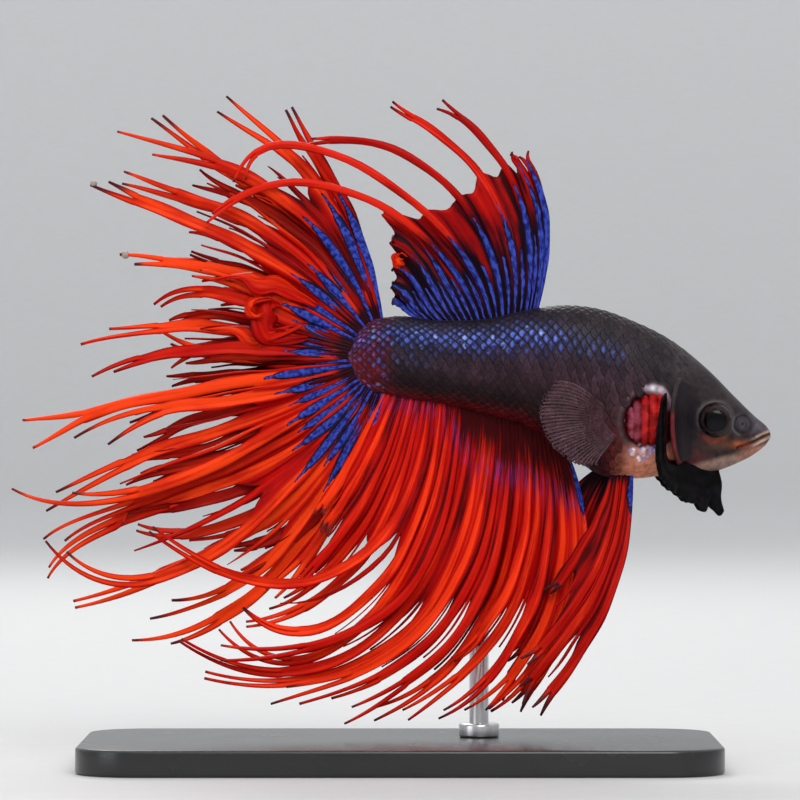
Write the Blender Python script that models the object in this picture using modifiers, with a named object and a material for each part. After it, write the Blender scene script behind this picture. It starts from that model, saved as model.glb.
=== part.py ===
"""A still, life-size model of a flaring male crowntail betta, held by a plain display stand.

Lengths are in millimetres and are scaled to metres as each object is made. The fish swims
along +X with its back to +Z, and its right side faces -Y. The origin is the middle of the
underside of the stand's base.
"""

import math
from collections import namedtuple

import bmesh
import bpy
from mathutils import Vector

MM = 0.001
GAP = 0.3                      # clearance between neighbouring pieces
FIN_THICKNESS = 0.5

# Body: height of the back and the belly and half the width, from the tail to the snout.
Station = namedtuple("Station", "x back belly half_width")
BODY = [
    Station(-5.7, 46.9, 45.7, 0.35),
    Station(-5.2, 48.3, 44.4, 0.55),
    Station(-3.6, 50.2, 42.6, 0.9),
    Station(-1.2, 50.9, 41.9, 1.35),
    Station(4.5, 50.5, 40.9, 2.2),
    Station(10.0, 50.7, 39.7, 2.9),
    Station(14.5, 51.7, 38.2, 3.5),
    Station(18.5, 52.2, 35.6, 3.9),
    Station(22.5, 51.8, 32.9, 4.1),
    Station(26.5, 50.4, 32.4, 4.1),
    Station(31.0, 48.1, 32.9, 4.0),
    Station(35.0, 44.9, 33.0, 3.6),
    Station(38.0, 41.9, 34.0, 2.8),
    Station(40.5, 39.5, 35.3, 1.75),
    Station(41.7, 38.5, 36.3, 1.0),
    Station(42.2, 37.9, 36.9, 0.45),
]
BODY_RINGS = 30
RING_POINTS = 16
RING_EVENNESS = 0.35           # 0 crowds the rings towards both ends, 1 spaces them evenly
WIDEST = 0.54                  # height of the widest level, as a share of the depth
ROUNDNESS = 0.86               # 1 is an ellipse, less is squarer

# Where the body is parted.
STALK_CUT = 2.6
HEAD_CUT = 28.7
MOUTH_TIP = (43.5, 37.75)
MOUTH_CORNER = (39.0, 36.2)
JAW_HINGE = (33.9, 34.7)
JAW_HEEL = (33.2, 31.0)

EYE_CENTRE = (35.6, 2.35, 39.1)
EYE_SIZE = (1.95, 1.3, 1.95)
GILL_CENTRE = (28.1, 3.75, 39.3)
GILL_SIZE = (2.0, 0.95, 3.3)

COVER_HINGE_X = 33.4
COVER_MIDDLE_Z = 39.0
COVER_HALF_HEIGHT = 5.0
COVER_REACH = 6.0
COVER_FLARE = math.radians(58)
COVER_THICKNESS = 0.6
COVER_BULGE = 0.7
COVER_HINGE_SHARE = 0.82       # the hinge edge is this much shorter than the rim
COVER_ROUNDING = 0.72          # how far the rim draws in towards its upper and lower corner

STAND_SIZE = (72.0, 40.0, 3.0)
STAND_CORNER = 7.0
ROD_RADIUS = 1.1
ROD_FOOT = (9.0, 3.8)
ROD_SINK = 1.6                 # depth of the rod's foot in the base

Ray = namedtuple("Ray", "place heading arm tip_x tip_z tip_heading tip_arm web fork spread lean")

# Each main ray of a fin: its place on the fin's root, its heading there in degrees and how long
# it holds that heading, as a share of the straight way to its tip; the tip, its heading and
# hold; the shares of its length that are webbed to the next ray and that stay whole before it
# forks; how far apart the fork's two tips end; and how far the tip leans from the fin's plane
# towards the fish's left (+) or right (-).
CAUDAL = [
    Ray(97, 100, 0.42, -12.7, 74.4, 120, 0.36, 0.55, 0.80, 1.4, 0.5),
    Ray(105, 105, 0.42, -20.2, 74.8, 149, 0.36, 0.55, 0.72, 1.8, -0.5),
    Ray(113, 112, 0.42, -32.0, 70.8, 172, 0.36, 0.50, 0.68, 1.5, -0.9),
    Ray(121, 119, 0.42, -27.9, 73.8, 141, 0.30, 0.50, 0.78, 1.6, 1.3),
    Ray(129, 127, 0.42, -31.4, 66.0, 171, 0.36, 0.48, 0.80, 1.3, 0.3),
    Ray(137, 136, 0.42, -34.6, 66.5, 153, 0.36, 0.45, 0.84, 3.2, -1.1),
    Ray(146, 145, 0.42, -31.8, 57.2, 181, 0.36, 0.40, 0.82, 1.8, 0.9),
    Ray(154, 153, 0.42, -23.3, 56.0, 165, 0.36, 0.45, 0.75, 0.9, -0.5),
    Ray(162, 160, 0.42, -27.6, 51.9, 214, 0.36, 0.38, 0.75, 1.2, -1.4),
    Ray(170, 169, 0.42, -36.2, 48.1, 196, 0.36, 0.32, 0.70, 2.2, 0.5),
    Ray(178, 177, 0.42, -34.3, 43.4, 212, 0.36, 0.32, 0.80, 1.4, -1.2),
    Ray(185, 183, 0.42, -28.3, 48.7, 162, 0.36, 0.36, 0.75, 0.8, 1.2),
    Ray(192, 188, 0.42, -42.0, 37.6, 198, 0.36, 0.30, 0.82, 3.9, 0.6),
    Ray(200, 203, 0.42, -35.6, 36.0, 225, 0.30, 0.36, 0.68, 5.6, -1.3),
    Ray(208, 207, 0.42, -40.4, 29.3, 214, 0.36, 0.38, 0.72, 1.6, 1.0),
    Ray(216, 213, 0.42, -43.6, 31.7, 154, 0.30, 0.29, 0.65, 0.9, -0.2),
    Ray(223, 224, 0.42, -39.4, 24.9, 228, 0.20, 0.40, 0.72, 1.4, 0.7),
    Ray(230, 232, 0.42, -39.9, 21.2, 246, 0.26, 0.42, 0.75, 0.9, 1.9),
    Ray(237, 235, 0.42, -39.5, 25.9, 130, 0.44, 0.42, 0.70, 0.9, -1.2),
    Ray(244, 243, 0.42, -36.8, 18.0, 200, 0.36, 0.48, 0.75, 1.6, 0.7),
    Ray(250, 246, 0.42, -28.3, 17.6, 178, 0.32, 0.52, 0.75, 1.3, 1.3),
    Ray(256, 251, 0.40, -30.3, 13.3, 188, 0.36, 0.52, 0.75, 1.0, 2.2),
    Ray(262, 257, 0.42, -14.6, 19.4, 226, 0.36, 0.62, 0.80, 1.6, 0.9),
]
CAUDAL_CENTRE = (-1.6, 46.3)
CAUDAL_RADII = (4.5, 5.0)

DORSAL = [
    Ray(0.0, 76, 0.42, 13.9, 69.2, 122, 0.36, 0.9, 0.95, 0.3, 0.0),
    Ray(0.085, 80, 0.42, 4.5, 74.9, 150, 0.36, 0.62, 0.9, 0.3, 0.6),
    Ray(0.175, 84, 0.42, -1.1, 74.5, 158, 0.36, 0.56, 0.9, 0.3, -0.5),
    Ray(0.265, 92, 0.42, -11.2, 70.1, 197, 0.40, 0.42, 0.9, 0.3, -2.6),
    Ray(0.355, 100, 0.42, -18.0, 65.8, 262, 0.36, 0.36, 0.9, 0.3, -3.5),
    Ray(0.45, 108, 0.42, -21.6, 61.3, 232, 0.40, 0.38, 0.9, 0.3, -2.7),
    Ray(0.545, 118, 0.42, -1.9, 62.6, 150, 0.36, 0.94, 0.97, 0.3, 0.3),
    Ray(0.64, 126, 0.42, -1.0, 59.4, 158, 0.36, 0.95, 0.98, 0.3, -0.2),
    Ray(0.74, 135, 0.42, -0.7, 56.6, 160, 0.36, 0.95, 0.98, 0.3, 0.2),
    Ray(0.85, 145, 0.42, -0.9, 54.2, 165, 0.36, 0.95, 0.98, 0.3, -0.2),
]
DORSAL_ROOT = (15.6, 0.6)

ANAL = [
    Ray(0.0, 250, 0.40, -8.8, 26.4, 234, 0.30, 0.80, 0.92, 0.8, -0.5),
    Ray(0.055, 256, 0.48, -11.9, 20.6, 222, 0.24, 0.76, 0.88, 0.8, -0.6),
    Ray(0.10, 258, 0.52, -14.9, 18.0, 202, 0.26, 0.74, 0.82, 0.8, -0.3),
    Ray(0.15, 260, 0.57, -17.4, 16.4, 184, 0.30, 0.50, 0.80, 0.8, -0.5),
    Ray(0.20, 265, 0.68, -28.0, 26.9, 140, 0.46, 0.38, 0.80, 1.0, -3.0),
    Ray(0.265, 267, 0.64, -17.7, 18.0, 138, 0.36, 0.46, 0.82, 0.9, -1.7),
    Ray(0.32, 267, 0.61, -19.5, 16.2, 125, 0.42, 0.55, 0.80, 0.9, -0.6),
    Ray(0.38, 267, 0.58, -20.2, 12.8, 180, 0.45, 0.55, 0.78, 1.2, -2.4),
    Ray(0.44, 267, 0.57, -24.9, 14.0, 150, 0.45, 0.50, 0.76, 1.2, -1.4),
    Ray(0.50, 268, 0.56, -22.1, 10.0, 172, 0.45, 0.50, 0.78, 1.0, -0.1),
    Ray(0.56, 268, 0.52, -14.7, 7.7, 190, 0.40, 0.55, 0.78, 1.2, -1.5),
    Ray(0.61, 270, 0.50, -11.3, 6.7, 195, 0.40, 0.54, 0.78, 1.0, -0.7),
    Ray(0.66, 271, 0.48, -6.7, 6.0, 200, 0.40, 0.56, 0.80, 1.2, -1.7),
    Ray(0.71, 273, 0.46, -3.2, 5.6, 204, 0.38, 0.56, 0.80, 0.9, 0.0),
    Ray(0.76, 276, 0.44, 6.0, 12.0, 220, 0.34, 0.60, 0.86, 0.9, -1.1),
    Ray(0.81, 277, 0.44, 0.6, 5.7, 208, 0.36, 0.56, 0.80, 0.9, -0.4),
    Ray(0.86, 280, 0.42, 4.3, 5.5, 212, 0.36, 0.58, 0.80, 0.9, -1.4),
    Ray(0.91, 284, 0.42, 7.7, 5.7, 216, 0.36, 0.60, 0.82, 0.9, 0.2),
    Ray(0.955, 288, 0.42, 10.2, 6.2, 220, 0.36, 0.64, 0.82, 0.9, -0.9),
    Ray(1.0, 291, 0.42, 12.7, 7.1, 224, 0.36, 0.68, 0.84, 0.9, -0.2),
]
ANAL_ROOT = (-0.7, 19.0)

PELVIC = [
    Ray(0.0, 259, 0.42, 17.2, 19.4, 242, 0.36, 0.78, 0.9, 0.4, 0.7),
    Ray(0.33, 267, 0.44, 14.4, 11.6, 230, 0.36, 0.78, 0.9, 0.4, 1.3),
    Ray(0.66, 268, 0.44, 13.0, 7.8, 230, 0.36, 0.75, 0.9, 0.4, 1.9),
    Ray(1.0, 271, 0.44, 15.4, 6.2, 234, 0.36, 0.75, 0.9, 0.4, 2.6),
]
PELVIC_RIGHT_ROOT = ((23.2, 31.8), (25.8, 31.9))
PELVIC_LEFT_ROOT = ((21.4, 31.6), (23.9, 31.7))
PELVIC_SPREAD = 1.3
PELVIC_LEFT_SHIFT = -2.1

PECTORAL = [
    Ray(0.0, 150, 0.40, 17.4, 43.4, 190, 0.36, 0.9, 0.95, 0.4, 2.6),
    Ray(0.15, 162, 0.40, 16.2, 41.7, 186, 0.36, 0.9, 0.95, 0.4, 3.0),
    Ray(0.3, 174, 0.40, 15.7, 39.9, 188, 0.36, 0.9, 0.95, 0.4, 3.3),
    Ray(0.45, 187, 0.40, 16.1, 38.0, 196, 0.36, 0.9, 0.95, 0.4, 3.4),
    Ray(0.6, 200, 0.40, 17.1, 36.3, 208, 0.36, 0.9, 0.95, 0.4, 3.4),
    Ray(0.75, 214, 0.40, 18.6, 34.9, 220, 0.36, 0.9, 0.95, 0.4, 3.2),
    Ray(0.88, 228, 0.40, 20.3, 34.1, 234, 0.36, 0.9, 0.95, 0.4, 2.9),
    Ray(1.0, 242, 0.40, 21.9, 34.2, 246, 0.36, 0.9, 0.95, 0.4, 2.5),
]
PECTORAL_ROOT = ((24.0, 40.3), (24.4, 37.6))

# Rows of faces along a ray: to the edge of the web, from there to the fork, and to the tips.
Rows = namedtuple("Rows", "web whole tip")
CAUDAL_ROWS = Rows(4, 2, 3)
ANAL_ROWS = Rows(5, 2, 3)
DORSAL_ROWS = Rows(5, 1, 3)
PELVIC_ROWS = Rows(4, 1, 2)
PECTORAL_ROWS = Rows(3, 1, 1)
FORK_LEAST = 1.9               # tips closer than this are left to the finer model
BRANCH_WIDTH = 0.5             # one branch of a forked ray
ROOT_HALF_WIDTH = 0.09
LEAN_START = 0.08              # a ray leans from here, as a share of its length,
LEAN_END = 0.58                # and has its full lean by here
PLEAT_TURN = 2.4               # turn of the pleats' wave from one ray to the next
CURVE_STEPS = 32


def clear_scene():
    for obj in list(bpy.data.objects):
        bpy.data.objects.remove(obj, do_unlink=True)


def new_collection(name, hidden):
    collection = bpy.data.collections.new(name)
    bpy.context.scene.collection.children.link(collection)
    collection.hide_render = hidden
    return collection


clear_scene()
FISH = new_collection("betta_on_stand", hidden=False)
CUTTERS = new_collection("cutters", hidden=True)


def painted(name, colour, roughness, metallic=0.0):
    """A material whose one Principled shader gives a piece its plain finish."""
    material = bpy.data.materials.new(name)
    material.use_nodes = True
    shader = material.node_tree.nodes["Principled BSDF"]
    shader.inputs["Base Color"].default_value = (*colour, 1.0)
    shader.inputs["Roughness"].default_value = roughness
    shader.inputs["Metallic"].default_value = metallic
    material.diffuse_color = (*colour, 1.0)
    return material


def object_from(bm, name, material=None, collection=FISH):
    """Turn millimetre geometry into an object in metres, shaded smooth."""
    bmesh.ops.scale(bm, vec=(MM, MM, MM), verts=bm.verts)
    mesh = bpy.data.meshes.new(name)
    bm.to_mesh(mesh)
    bm.free()
    obj = bpy.data.objects.new(name, mesh)
    collection.objects.link(obj)
    if material is not None:
        mesh.materials.append(material)
    if collection is CUTTERS:
        obj.hide_render = True
        obj.display_type = "WIRE"
    return obj


def boolean(obj, cutter, operation):
    modifier = obj.modifiers.new(cutter.name, "BOOLEAN")
    modifier.operation = operation
    modifier.solver = "EXACT"
    modifier.object = cutter


def sway(x):
    """Sideways place of the spine: the head turns to the left, the tail fin drifts right."""
    head_turn = 0.0045 * max(x - 18.0, 0.0) ** 2
    tail_drift = -0.0011 * max(-x, 0.0) ** 2
    return head_turn + tail_drift


def settle(obj):
    """Apply the modifiers of a finished piece and lay it along the swaying spine."""
    bpy.context.view_layer.update()
    evaluated = obj.evaluated_get(bpy.context.evaluated_depsgraph_get())
    mesh = bpy.data.meshes.new_from_object(evaluated)
    obj.modifiers.clear()
    obj.data = mesh
    for vertex in mesh.vertices:
        vertex.co.y += sway(vertex.co.x / MM) * MM
    bm = bmesh.new()
    bm.from_mesh(mesh)
    bmesh.ops.remove_doubles(bm, verts=bm.verts, dist=0.00001)
    bmesh.ops.recalc_face_normals(bm, faces=bm.faces)
    bm.to_mesh(mesh)
    bm.free()
    mesh.shade_smooth()
    mesh.set_sharp_from_angle(angle=math.radians(40))
    return obj


def mix(a, b, share):
    return a + (b - a) * share


def ease(share):
    share = min(max(share, 0.0), 1.0)
    return share * share * (3.0 - 2.0 * share)


# ---------------------------------------------------------------- body


def body_at(x):
    """Back, belly and half width at a place along the body, on a smooth curve."""
    last = len(BODY) - 2
    index = max(i for i in range(last + 1) if BODY[i].x <= x or i == 0)
    before = BODY[max(index - 1, 0)]
    start = BODY[index]
    end = BODY[index + 1]
    after = BODY[min(index + 2, last + 1)]
    span = end.x - start.x
    share = (x - start.x) / span
    values = []
    for field in ("back", "belly", "half_width"):
        a, b, c, d = (getattr(s, field) for s in (before, start, end, after))
        slope_start = (c - a) / max(end.x - before.x, 1e-6) * span
        slope_end = (d - b) / max(after.x - start.x, 1e-6) * span
        s2 = share * share
        s3 = s2 * share
        value = (2 * s3 - 3 * s2 + 1) * b + (s3 - 2 * s2 + share) * slope_start
        value += (-2 * s3 + 3 * s2) * c + (s3 - s2) * slope_end
        values.append(value)
    return values


def flank(x, z):
    """Half the body's width at a height."""
    back, belly, half_width = body_at(x)
    level = mix(belly, back, WIDEST)
    rise = (z - level) / (back - level) if z > level else (level - z) / (level - belly)
    lift = min(max(rise, 0.0), 1.0) ** (1.0 / ROUNDNESS)
    return half_width * math.sqrt(1.0 - lift * lift) ** ROUNDNESS


def body_solid():
    """The whole body, lofted through its sections."""
    bm = bmesh.new()
    first, last = BODY[0].x, BODY[-1].x
    rings = []
    for step in range(BODY_RINGS + 1):
        # Rings crowd towards both ends, where the body turns in quickly.
        share = 0.5 - 0.5 * math.cos(math.pi * step / BODY_RINGS)
        x = mix(first, last, mix(share, step / BODY_RINGS, RING_EVENNESS))
        back, belly, half_width = body_at(x)
        level = mix(belly, back, WIDEST)
        ring = []
        for point in range(RING_POINTS):
            angle = 2 * math.pi * point / RING_POINTS
            across, up = math.cos(angle), math.sin(angle)
            y = half_width * math.copysign(abs(across) ** ROUNDNESS, across)
            reach = (back - level) if up > 0 else (level - belly)
            z = level + reach * math.copysign(abs(up) ** ROUNDNESS, up)
            ring.append(bm.verts.new((x, y, z)))
        rings.append(ring)
    for low, high in zip(rings, rings[1:]):
        for point in range(RING_POINTS):
            following = (point + 1) % RING_POINTS
            bm.faces.new((low[point], low[following], high[following], high[point]))
    bm.faces.new(rings[0])
    bm.faces.new(list(reversed(rings[-1])))
    bmesh.ops.recalc_face_normals(bm, faces=bm.faces)
    return bm


def prism(name, outline, half_depth=30.0):
    """A side-view outline carried across the body, to keep one part of it."""
    bm = bmesh.new()
    near = [bm.verts.new((x, -half_depth, z)) for x, z in outline]
    face = bm.faces.new(near)
    result = bmesh.ops.extrude_face_region(bm, geom=[face])
    moved = [v for v in result["geom"] if isinstance(v, bmesh.types.BMVert)]
    bmesh.ops.translate(bm, vec=(0.0, 2 * half_depth, 0.0), verts=moved)
    bmesh.ops.recalc_face_normals(bm, faces=bm.faces)
    return object_from(bm, name, collection=CUTTERS)


def ellipsoids(name, centre, size, sides, grow=0.0, material=None, collection=FISH, rings=(12, 8)):
    """One ellipsoid on each of the given sides of the fish, as one object."""
    bm = bmesh.new()
    for side in sides:
        made = bmesh.ops.create_uvsphere(bm, u_segments=rings[0], v_segments=rings[1], radius=1.0)
        bmesh.ops.scale(bm, vec=[length + grow for length in size], verts=made["verts"])
        place = (centre[0], side * centre[1], centre[2])
        bmesh.ops.translate(bm, vec=place, verts=made["verts"])
    return object_from(bm, name, material, collection)


SIDES = (("right", -1), ("left", 1))
HALF_GAP = GAP / 2

skin_grey = painted("slate_skin", (0.075, 0.065, 0.085), 0.5)
belly_mauve = painted("mauve_skin", (0.10, 0.055, 0.085), 0.5)
jaw_peach = painted("peach_skin", (0.55, 0.36, 0.28), 0.55)
gill_red = painted("gill_red", (0.55, 0.02, 0.02), 0.35)
black_web = painted("black_web", (0.012, 0.011, 0.013), 0.6)
eye_black = painted("eye_black", (0.02, 0.018, 0.02), 0.1)
fin_red = painted("fin_red", (0.72, 0.035, 0.01), 0.45)
fin_mauve = painted("fin_mauve", (0.30, 0.17, 0.20), 0.4)
stand_black = painted("stand_black", (0.03, 0.03, 0.032), 0.35)
rod_steel = painted("rod_steel", (0.55, 0.55, 0.56), 0.3, 1.0)

stalk_region = prism("stalk_region", [(-9, 30), (STALK_CUT - HALF_GAP, 30),
                                      (STALK_CUT - HALF_GAP, 60), (-9, 60)])
trunk_region = prism("trunk_region", [(STALK_CUT + HALF_GAP, 20), (HEAD_CUT - HALF_GAP, 20),
                                      (HEAD_CUT - HALF_GAP, 60), (STALK_CUT + HALF_GAP, 60)])
head_region = prism("head_region", [
    (HEAD_CUT + HALF_GAP, 20), (JAW_HEEL[0] - HALF_GAP, 20), (JAW_HEEL[0] - HALF_GAP, JAW_HEEL[1]),
    (JAW_HINGE[0] - HALF_GAP, JAW_HINGE[1] + HALF_GAP), (MOUTH_CORNER[0], MOUTH_CORNER[1] + HALF_GAP),
    (MOUTH_TIP[0], MOUTH_TIP[1] + HALF_GAP), (MOUTH_TIP[0], 60), (HEAD_CUT + HALF_GAP, 60)])
jaw_region = prism("jaw_region", [
    (JAW_HEEL[0] + HALF_GAP, 20), (MOUTH_TIP[0], 20), (MOUTH_TIP[0], MOUTH_TIP[1] - HALF_GAP),
    (MOUTH_CORNER[0], MOUTH_CORNER[1] - HALF_GAP), (JAW_HINGE[0] + HALF_GAP, JAW_HINGE[1] - HALF_GAP),
    (JAW_HEEL[0] + HALF_GAP, JAW_HEEL[1])])

eye_sockets = ellipsoids("eye_sockets", EYE_CENTRE, EYE_SIZE, (-1, 1), GAP, collection=CUTTERS)
gill_pits = ellipsoids("gill_pits", GILL_CENTRE, GILL_SIZE, (-1, 1), GAP, collection=CUTTERS)


def rod_path():
    """Up behind the anal fin, then inwards to the trunk's lower left flank."""
    x, y = ROD_FOOT
    return [(x, y, STAND_SIZE[2] - ROD_SINK), (x, y, 10.0), (x, y, 22.0), (x, y, 33.0),
            (x, y - 0.2, 36.5), (x, y - 0.9, 39.5), (x, y - 2.0, 42.0), (x, y - 2.9, 43.6)]


def tube(name, path, radius, material=None, collection=FISH):
    curve = bpy.data.curves.new(name, "CURVE")
    curve.dimensions = "3D"
    curve.bevel_depth = radius * MM
    curve.bevel_resolution = 2
    curve.use_fill_caps = True
    spline = curve.splines.new("POLY")
    spline.points.add(len(path) - 1)
    for point, place in zip(spline.points, path):
        point.co = (*(value * MM for value in place), 1.0)
    guide = bpy.data.objects.new(name + "_curve", curve)
    collection.objects.link(guide)
    bpy.context.view_layer.update()
    evaluated = guide.evaluated_get(bpy.context.evaluated_depsgraph_get())
    mesh = bpy.data.meshes.new_from_object(evaluated)
    bm = bmesh.new()
    bm.from_mesh(mesh)
    bmesh.ops.remove_doubles(bm, verts=bm.verts, dist=0.00001)
    bmesh.ops.recalc_face_normals(bm, faces=bm.faces)
    bmesh.ops.scale(bm, vec=(1 / MM, 1 / MM, 1 / MM), verts=bm.verts)
    bpy.data.objects.remove(guide, do_unlink=True)
    return object_from(bm, name, material, collection)


rod_hole = tube("rod_hole", rod_path() + [(ROD_FOOT[0], ROD_FOOT[1] - 3.1, 43.9)],
                ROD_RADIUS + GAP, collection=CUTTERS)

BODY_PARTS = [
    ("tail_stalk", belly_mauve, stalk_region, []),
    ("trunk", skin_grey, trunk_region, [gill_pits, rod_hole]),
    ("head", skin_grey, head_region, [gill_pits, eye_sockets]),
    ("lower_jaw", jaw_peach, jaw_region, []),
]
for part_name, part_material, region, cutters in BODY_PARTS:
    part = object_from(body_solid(), part_name, part_material)
    boolean(part, region, "INTERSECT")
    for cutter in cutters:
        boolean(part, cutter, "DIFFERENCE")
    settle(part)

for side_name, side in SIDES:
    settle(ellipsoids(f"eye_{side_name}", EYE_CENTRE, EYE_SIZE, (side,), material=eye_black))
    settle(ellipsoids(f"gills_{side_name}", GILL_CENTRE, GILL_SIZE, (side,), material=gill_red))

# ---------------------------------------------------------------- gill covers and beard


def cover_point(reach, height):
    """A point of the flared right gill cover: reach 0 at the cheek to 1 at the rim, height -1 to 1."""
    z = COVER_MIDDLE_Z + COVER_HALF_HEIGHT * height * mix(COVER_HINGE_SHARE, 1.0, reach)
    hinge_y = flank(COVER_HINGE_X, z) + GAP + COVER_THICKNESS * 0.75
    length = COVER_REACH * reach * math.sqrt(1.0 - COVER_ROUNDING * height * height)
    bulge = COVER_BULGE * math.sin(math.pi * reach) * (1.0 - height * height)
    outward, backward = math.sin(COVER_FLARE), math.cos(COVER_FLARE)
    x = COVER_HINGE_X - length * backward + bulge * outward
    y = hinge_y + length * outward + bulge * backward
    return x, y, z


def thickened(obj, thickness):
    """Give a surface its thickness, half to each side, and finish the piece."""
    solid = obj.modifiers.new("thickness", "SOLIDIFY")
    solid.thickness = thickness * MM
    solid.offset = 0.0
    return settle(obj)


def sheet(name, columns, thickness, side, material):
    """A thin solid sheet through columns of points, mirrored to one side of the fish."""
    bm = bmesh.new()
    grid = [[bm.verts.new((x, side * y, z)) for x, y, z in column] for column in columns]
    for left, right in zip(grid, grid[1:]):
        for row in range(len(left) - 1):
            bm.faces.new((left[row], left[row + 1], right[row + 1], right[row]))
    return thickened(object_from(bm, name, material), thickness)


def smooth_point(points, share):
    """A place on a smooth curve through a few points."""
    span = share * (len(points) - 1)
    index = min(int(span), len(points) - 2)
    local = span - index
    p = [Vector(points[min(max(index + k, 0), len(points) - 1)]) for k in (-1, 0, 1, 2)]
    bend = p[3] - p[0] + 3 * (p[1] - p[2])
    turn = 2 * p[0] - 5 * p[1] + 4 * p[2] - p[3]
    return p[1] + 0.5 * local * (p[2] - p[0] + local * (turn + local * bend))


# The black throat membrane that spreads with the covers, from behind the rim to the midline.
BEARD_ROOT = [(29.5, 7.3, 42.2), (29.5, 7.5, 38.6), (29.9, 6.5, 34.7),
              (32.4, 3.6, 32.4), (36.0, 0.45, 32.3)]
BEARD_HEM = [(29.1, 8.3, 41.6), (28.6, 8.9, 37.4), (28.9, 8.0, 33.2),
             (32.4, 4.2, 29.6), (36.6, 0.45, 28.7)]
COVER_STEPS = (5, 10)
BEARD_STEPS = (2, 10)
for side_name, side in SIDES:
    cover = []
    for i in range(COVER_STEPS[0] + 1):
        reach = mix(0.03, 1.0, i / COVER_STEPS[0])
        heights = [mix(-0.98, 0.98, j / COVER_STEPS[1]) for j in range(COVER_STEPS[1] + 1)]
        cover.append([cover_point(reach, height) for height in heights])
    sheet(f"gill_cover_{side_name}", cover, COVER_THICKNESS, side, skin_grey)
    beard = []
    for i in range(BEARD_STEPS[0] + 1):
        depth = i / BEARD_STEPS[0]
        lengths = [j / BEARD_STEPS[1] for j in range(BEARD_STEPS[1] + 1)]
        beard.append([smooth_point(BEARD_ROOT, length).lerp(smooth_point(BEARD_HEM, length), depth)
                      for length in lengths])
    sheet(f"beard_{side_name}", beard, FIN_THICKNESS, side, black_web)

# ---------------------------------------------------------------- fins


def direction(degrees):
    return Vector((math.cos(math.radians(degrees)), math.sin(math.radians(degrees))))


def ray_curve(ray, root):
    """Points along a ribbon's middle line with their distances from its root."""
    tip = Vector((ray.tip_x, ray.tip_z))
    start = Vector(root)
    chord = (tip - start).length
    first = start + direction(ray.heading) * chord * ray.arm
    second = tip - direction(ray.tip_heading) * chord * ray.tip_arm
    points = []
    for step in range(CURVE_STEPS + 1):
        t = step / CURVE_STEPS
        u = 1 - t
        points.append(u ** 3 * start + 3 * u * u * t * first + 3 * u * t * t * second + t ** 3 * tip)
    distances = [0.0]
    for a, b in zip(points, points[1:]):
        distances.append(distances[-1] + (b - a).length)
    return points, distances


def along(points, distances, distance):
    """Place and direction at a distance along a ribbon."""
    index = max(i for i in range(len(points) - 1) if distances[i] <= distance or i == 0)
    share = (distance - distances[index]) / (distances[index + 1] - distances[index])
    tangent = (points[index + 1] - points[index]).normalized()
    return points[index].lerp(points[index + 1], share), tangent


def half_width(ray, share, widest):
    """Half the width of a ray, from the root along its length to its one or two tips."""
    if share < ray.web:
        return mix(ROOT_HALF_WIDTH, widest, share / ray.web)
    tip = ray.spread / 2 + BRANCH_WIDTH / 2 if ray.spread >= FORK_LEAST else BRANCH_WIDTH / 2
    if share < ray.fork:
        return widest
    return mix(widest, tip, (share - ray.fork) / (1.0 - ray.fork))


def ray_columns(ray, order, root, rows, pleat, widest):
    """Edge points of a ray from root to tip: two columns, or four on a ray that forks."""
    points, distances = ray_curve(ray, root)
    length = distances[-1]
    shares = [ray.web * row / rows.web for row in range(rows.web)]
    shares += [mix(ray.web, ray.fork, row / rows.whole) for row in range(rows.whole)]
    shares += [mix(ray.fork, 1.0, row / rows.tip) for row in range(rows.tip + 1)]
    forked = ray.spread >= FORK_LEAST
    columns = [[] for _ in range(4 if forked else 2)]
    for share in shares:
        centre, tangent = along(points, distances, min(share * length, length - 1e-6))
        aside = Vector((tangent.y, -tangent.x))
        lean = ray.lean * ease((share - LEAN_START) / (LEAN_END - LEAN_START))
        lean += pleat * math.sin(PLEAT_TURN * order) * ease(share / ray.web)
        outer = half_width(ray, share, widest)
        inner = max(outer - BRANCH_WIDTH, 0.25 * outer)
        reaches = (outer, inner, -inner, -outer) if forked else (outer, -outer)
        for column, reach in zip(columns, reaches):
            place = centre + aside * reach
            column.append((place.x, lean, place.y))
    return columns


def fin(name, rays, root_at, rows, material, pleat=0.2, widest=0.6, lie=None):
    """A fin as one sheet: rays webbed together near the root and free towards the tips."""
    bm = bmesh.new()
    previous = None
    for order, ray in enumerate(rays):
        columns = []
        for column in ray_columns(ray, order, root_at(ray.place), rows, pleat, widest):
            placed = [lie(point) if lie else point for point in column]
            columns.append([bm.verts.new(point) for point in placed])
        reaches = [sum(rows)] * (len(columns) - 1)
        if len(columns) == 4:
            reaches[1] = rows.web + rows.whole
        if previous:
            columns.insert(0, previous)
            reaches.insert(0, rows.web)
        for left, right, count in zip(columns, columns[1:], reaches):
            for row in range(count):
                bm.faces.new((left[row], left[row + 1], right[row + 1], right[row]))
        previous = columns[-1]
    return thickened(object_from(bm, name, material), FIN_THICKNESS)


def caudal_root(angle):
    turn = math.radians(angle)
    return (CAUDAL_CENTRE[0] + CAUDAL_RADII[0] * math.cos(turn),
            CAUDAL_CENTRE[1] + CAUDAL_RADII[1] * math.sin(turn))


def dorsal_root(share):
    x = mix(*DORSAL_ROOT, share)
    return x, body_at(x)[0] + GAP


def anal_root(share):
    x = mix(*ANAL_ROOT, share)
    return x, body_at(x)[1] - GAP


def line_root(ends):
    return lambda share: (mix(ends[0][0], ends[1][0], share), mix(ends[0][1], ends[1][1], share))


fin("caudal_fin", CAUDAL, caudal_root, CAUDAL_ROWS, fin_red)
fin("dorsal_fin", DORSAL, dorsal_root, DORSAL_ROWS, fin_red, widest=0.45)
fin("anal_fin", ANAL, anal_root, ANAL_ROWS, fin_red, widest=0.5)

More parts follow.
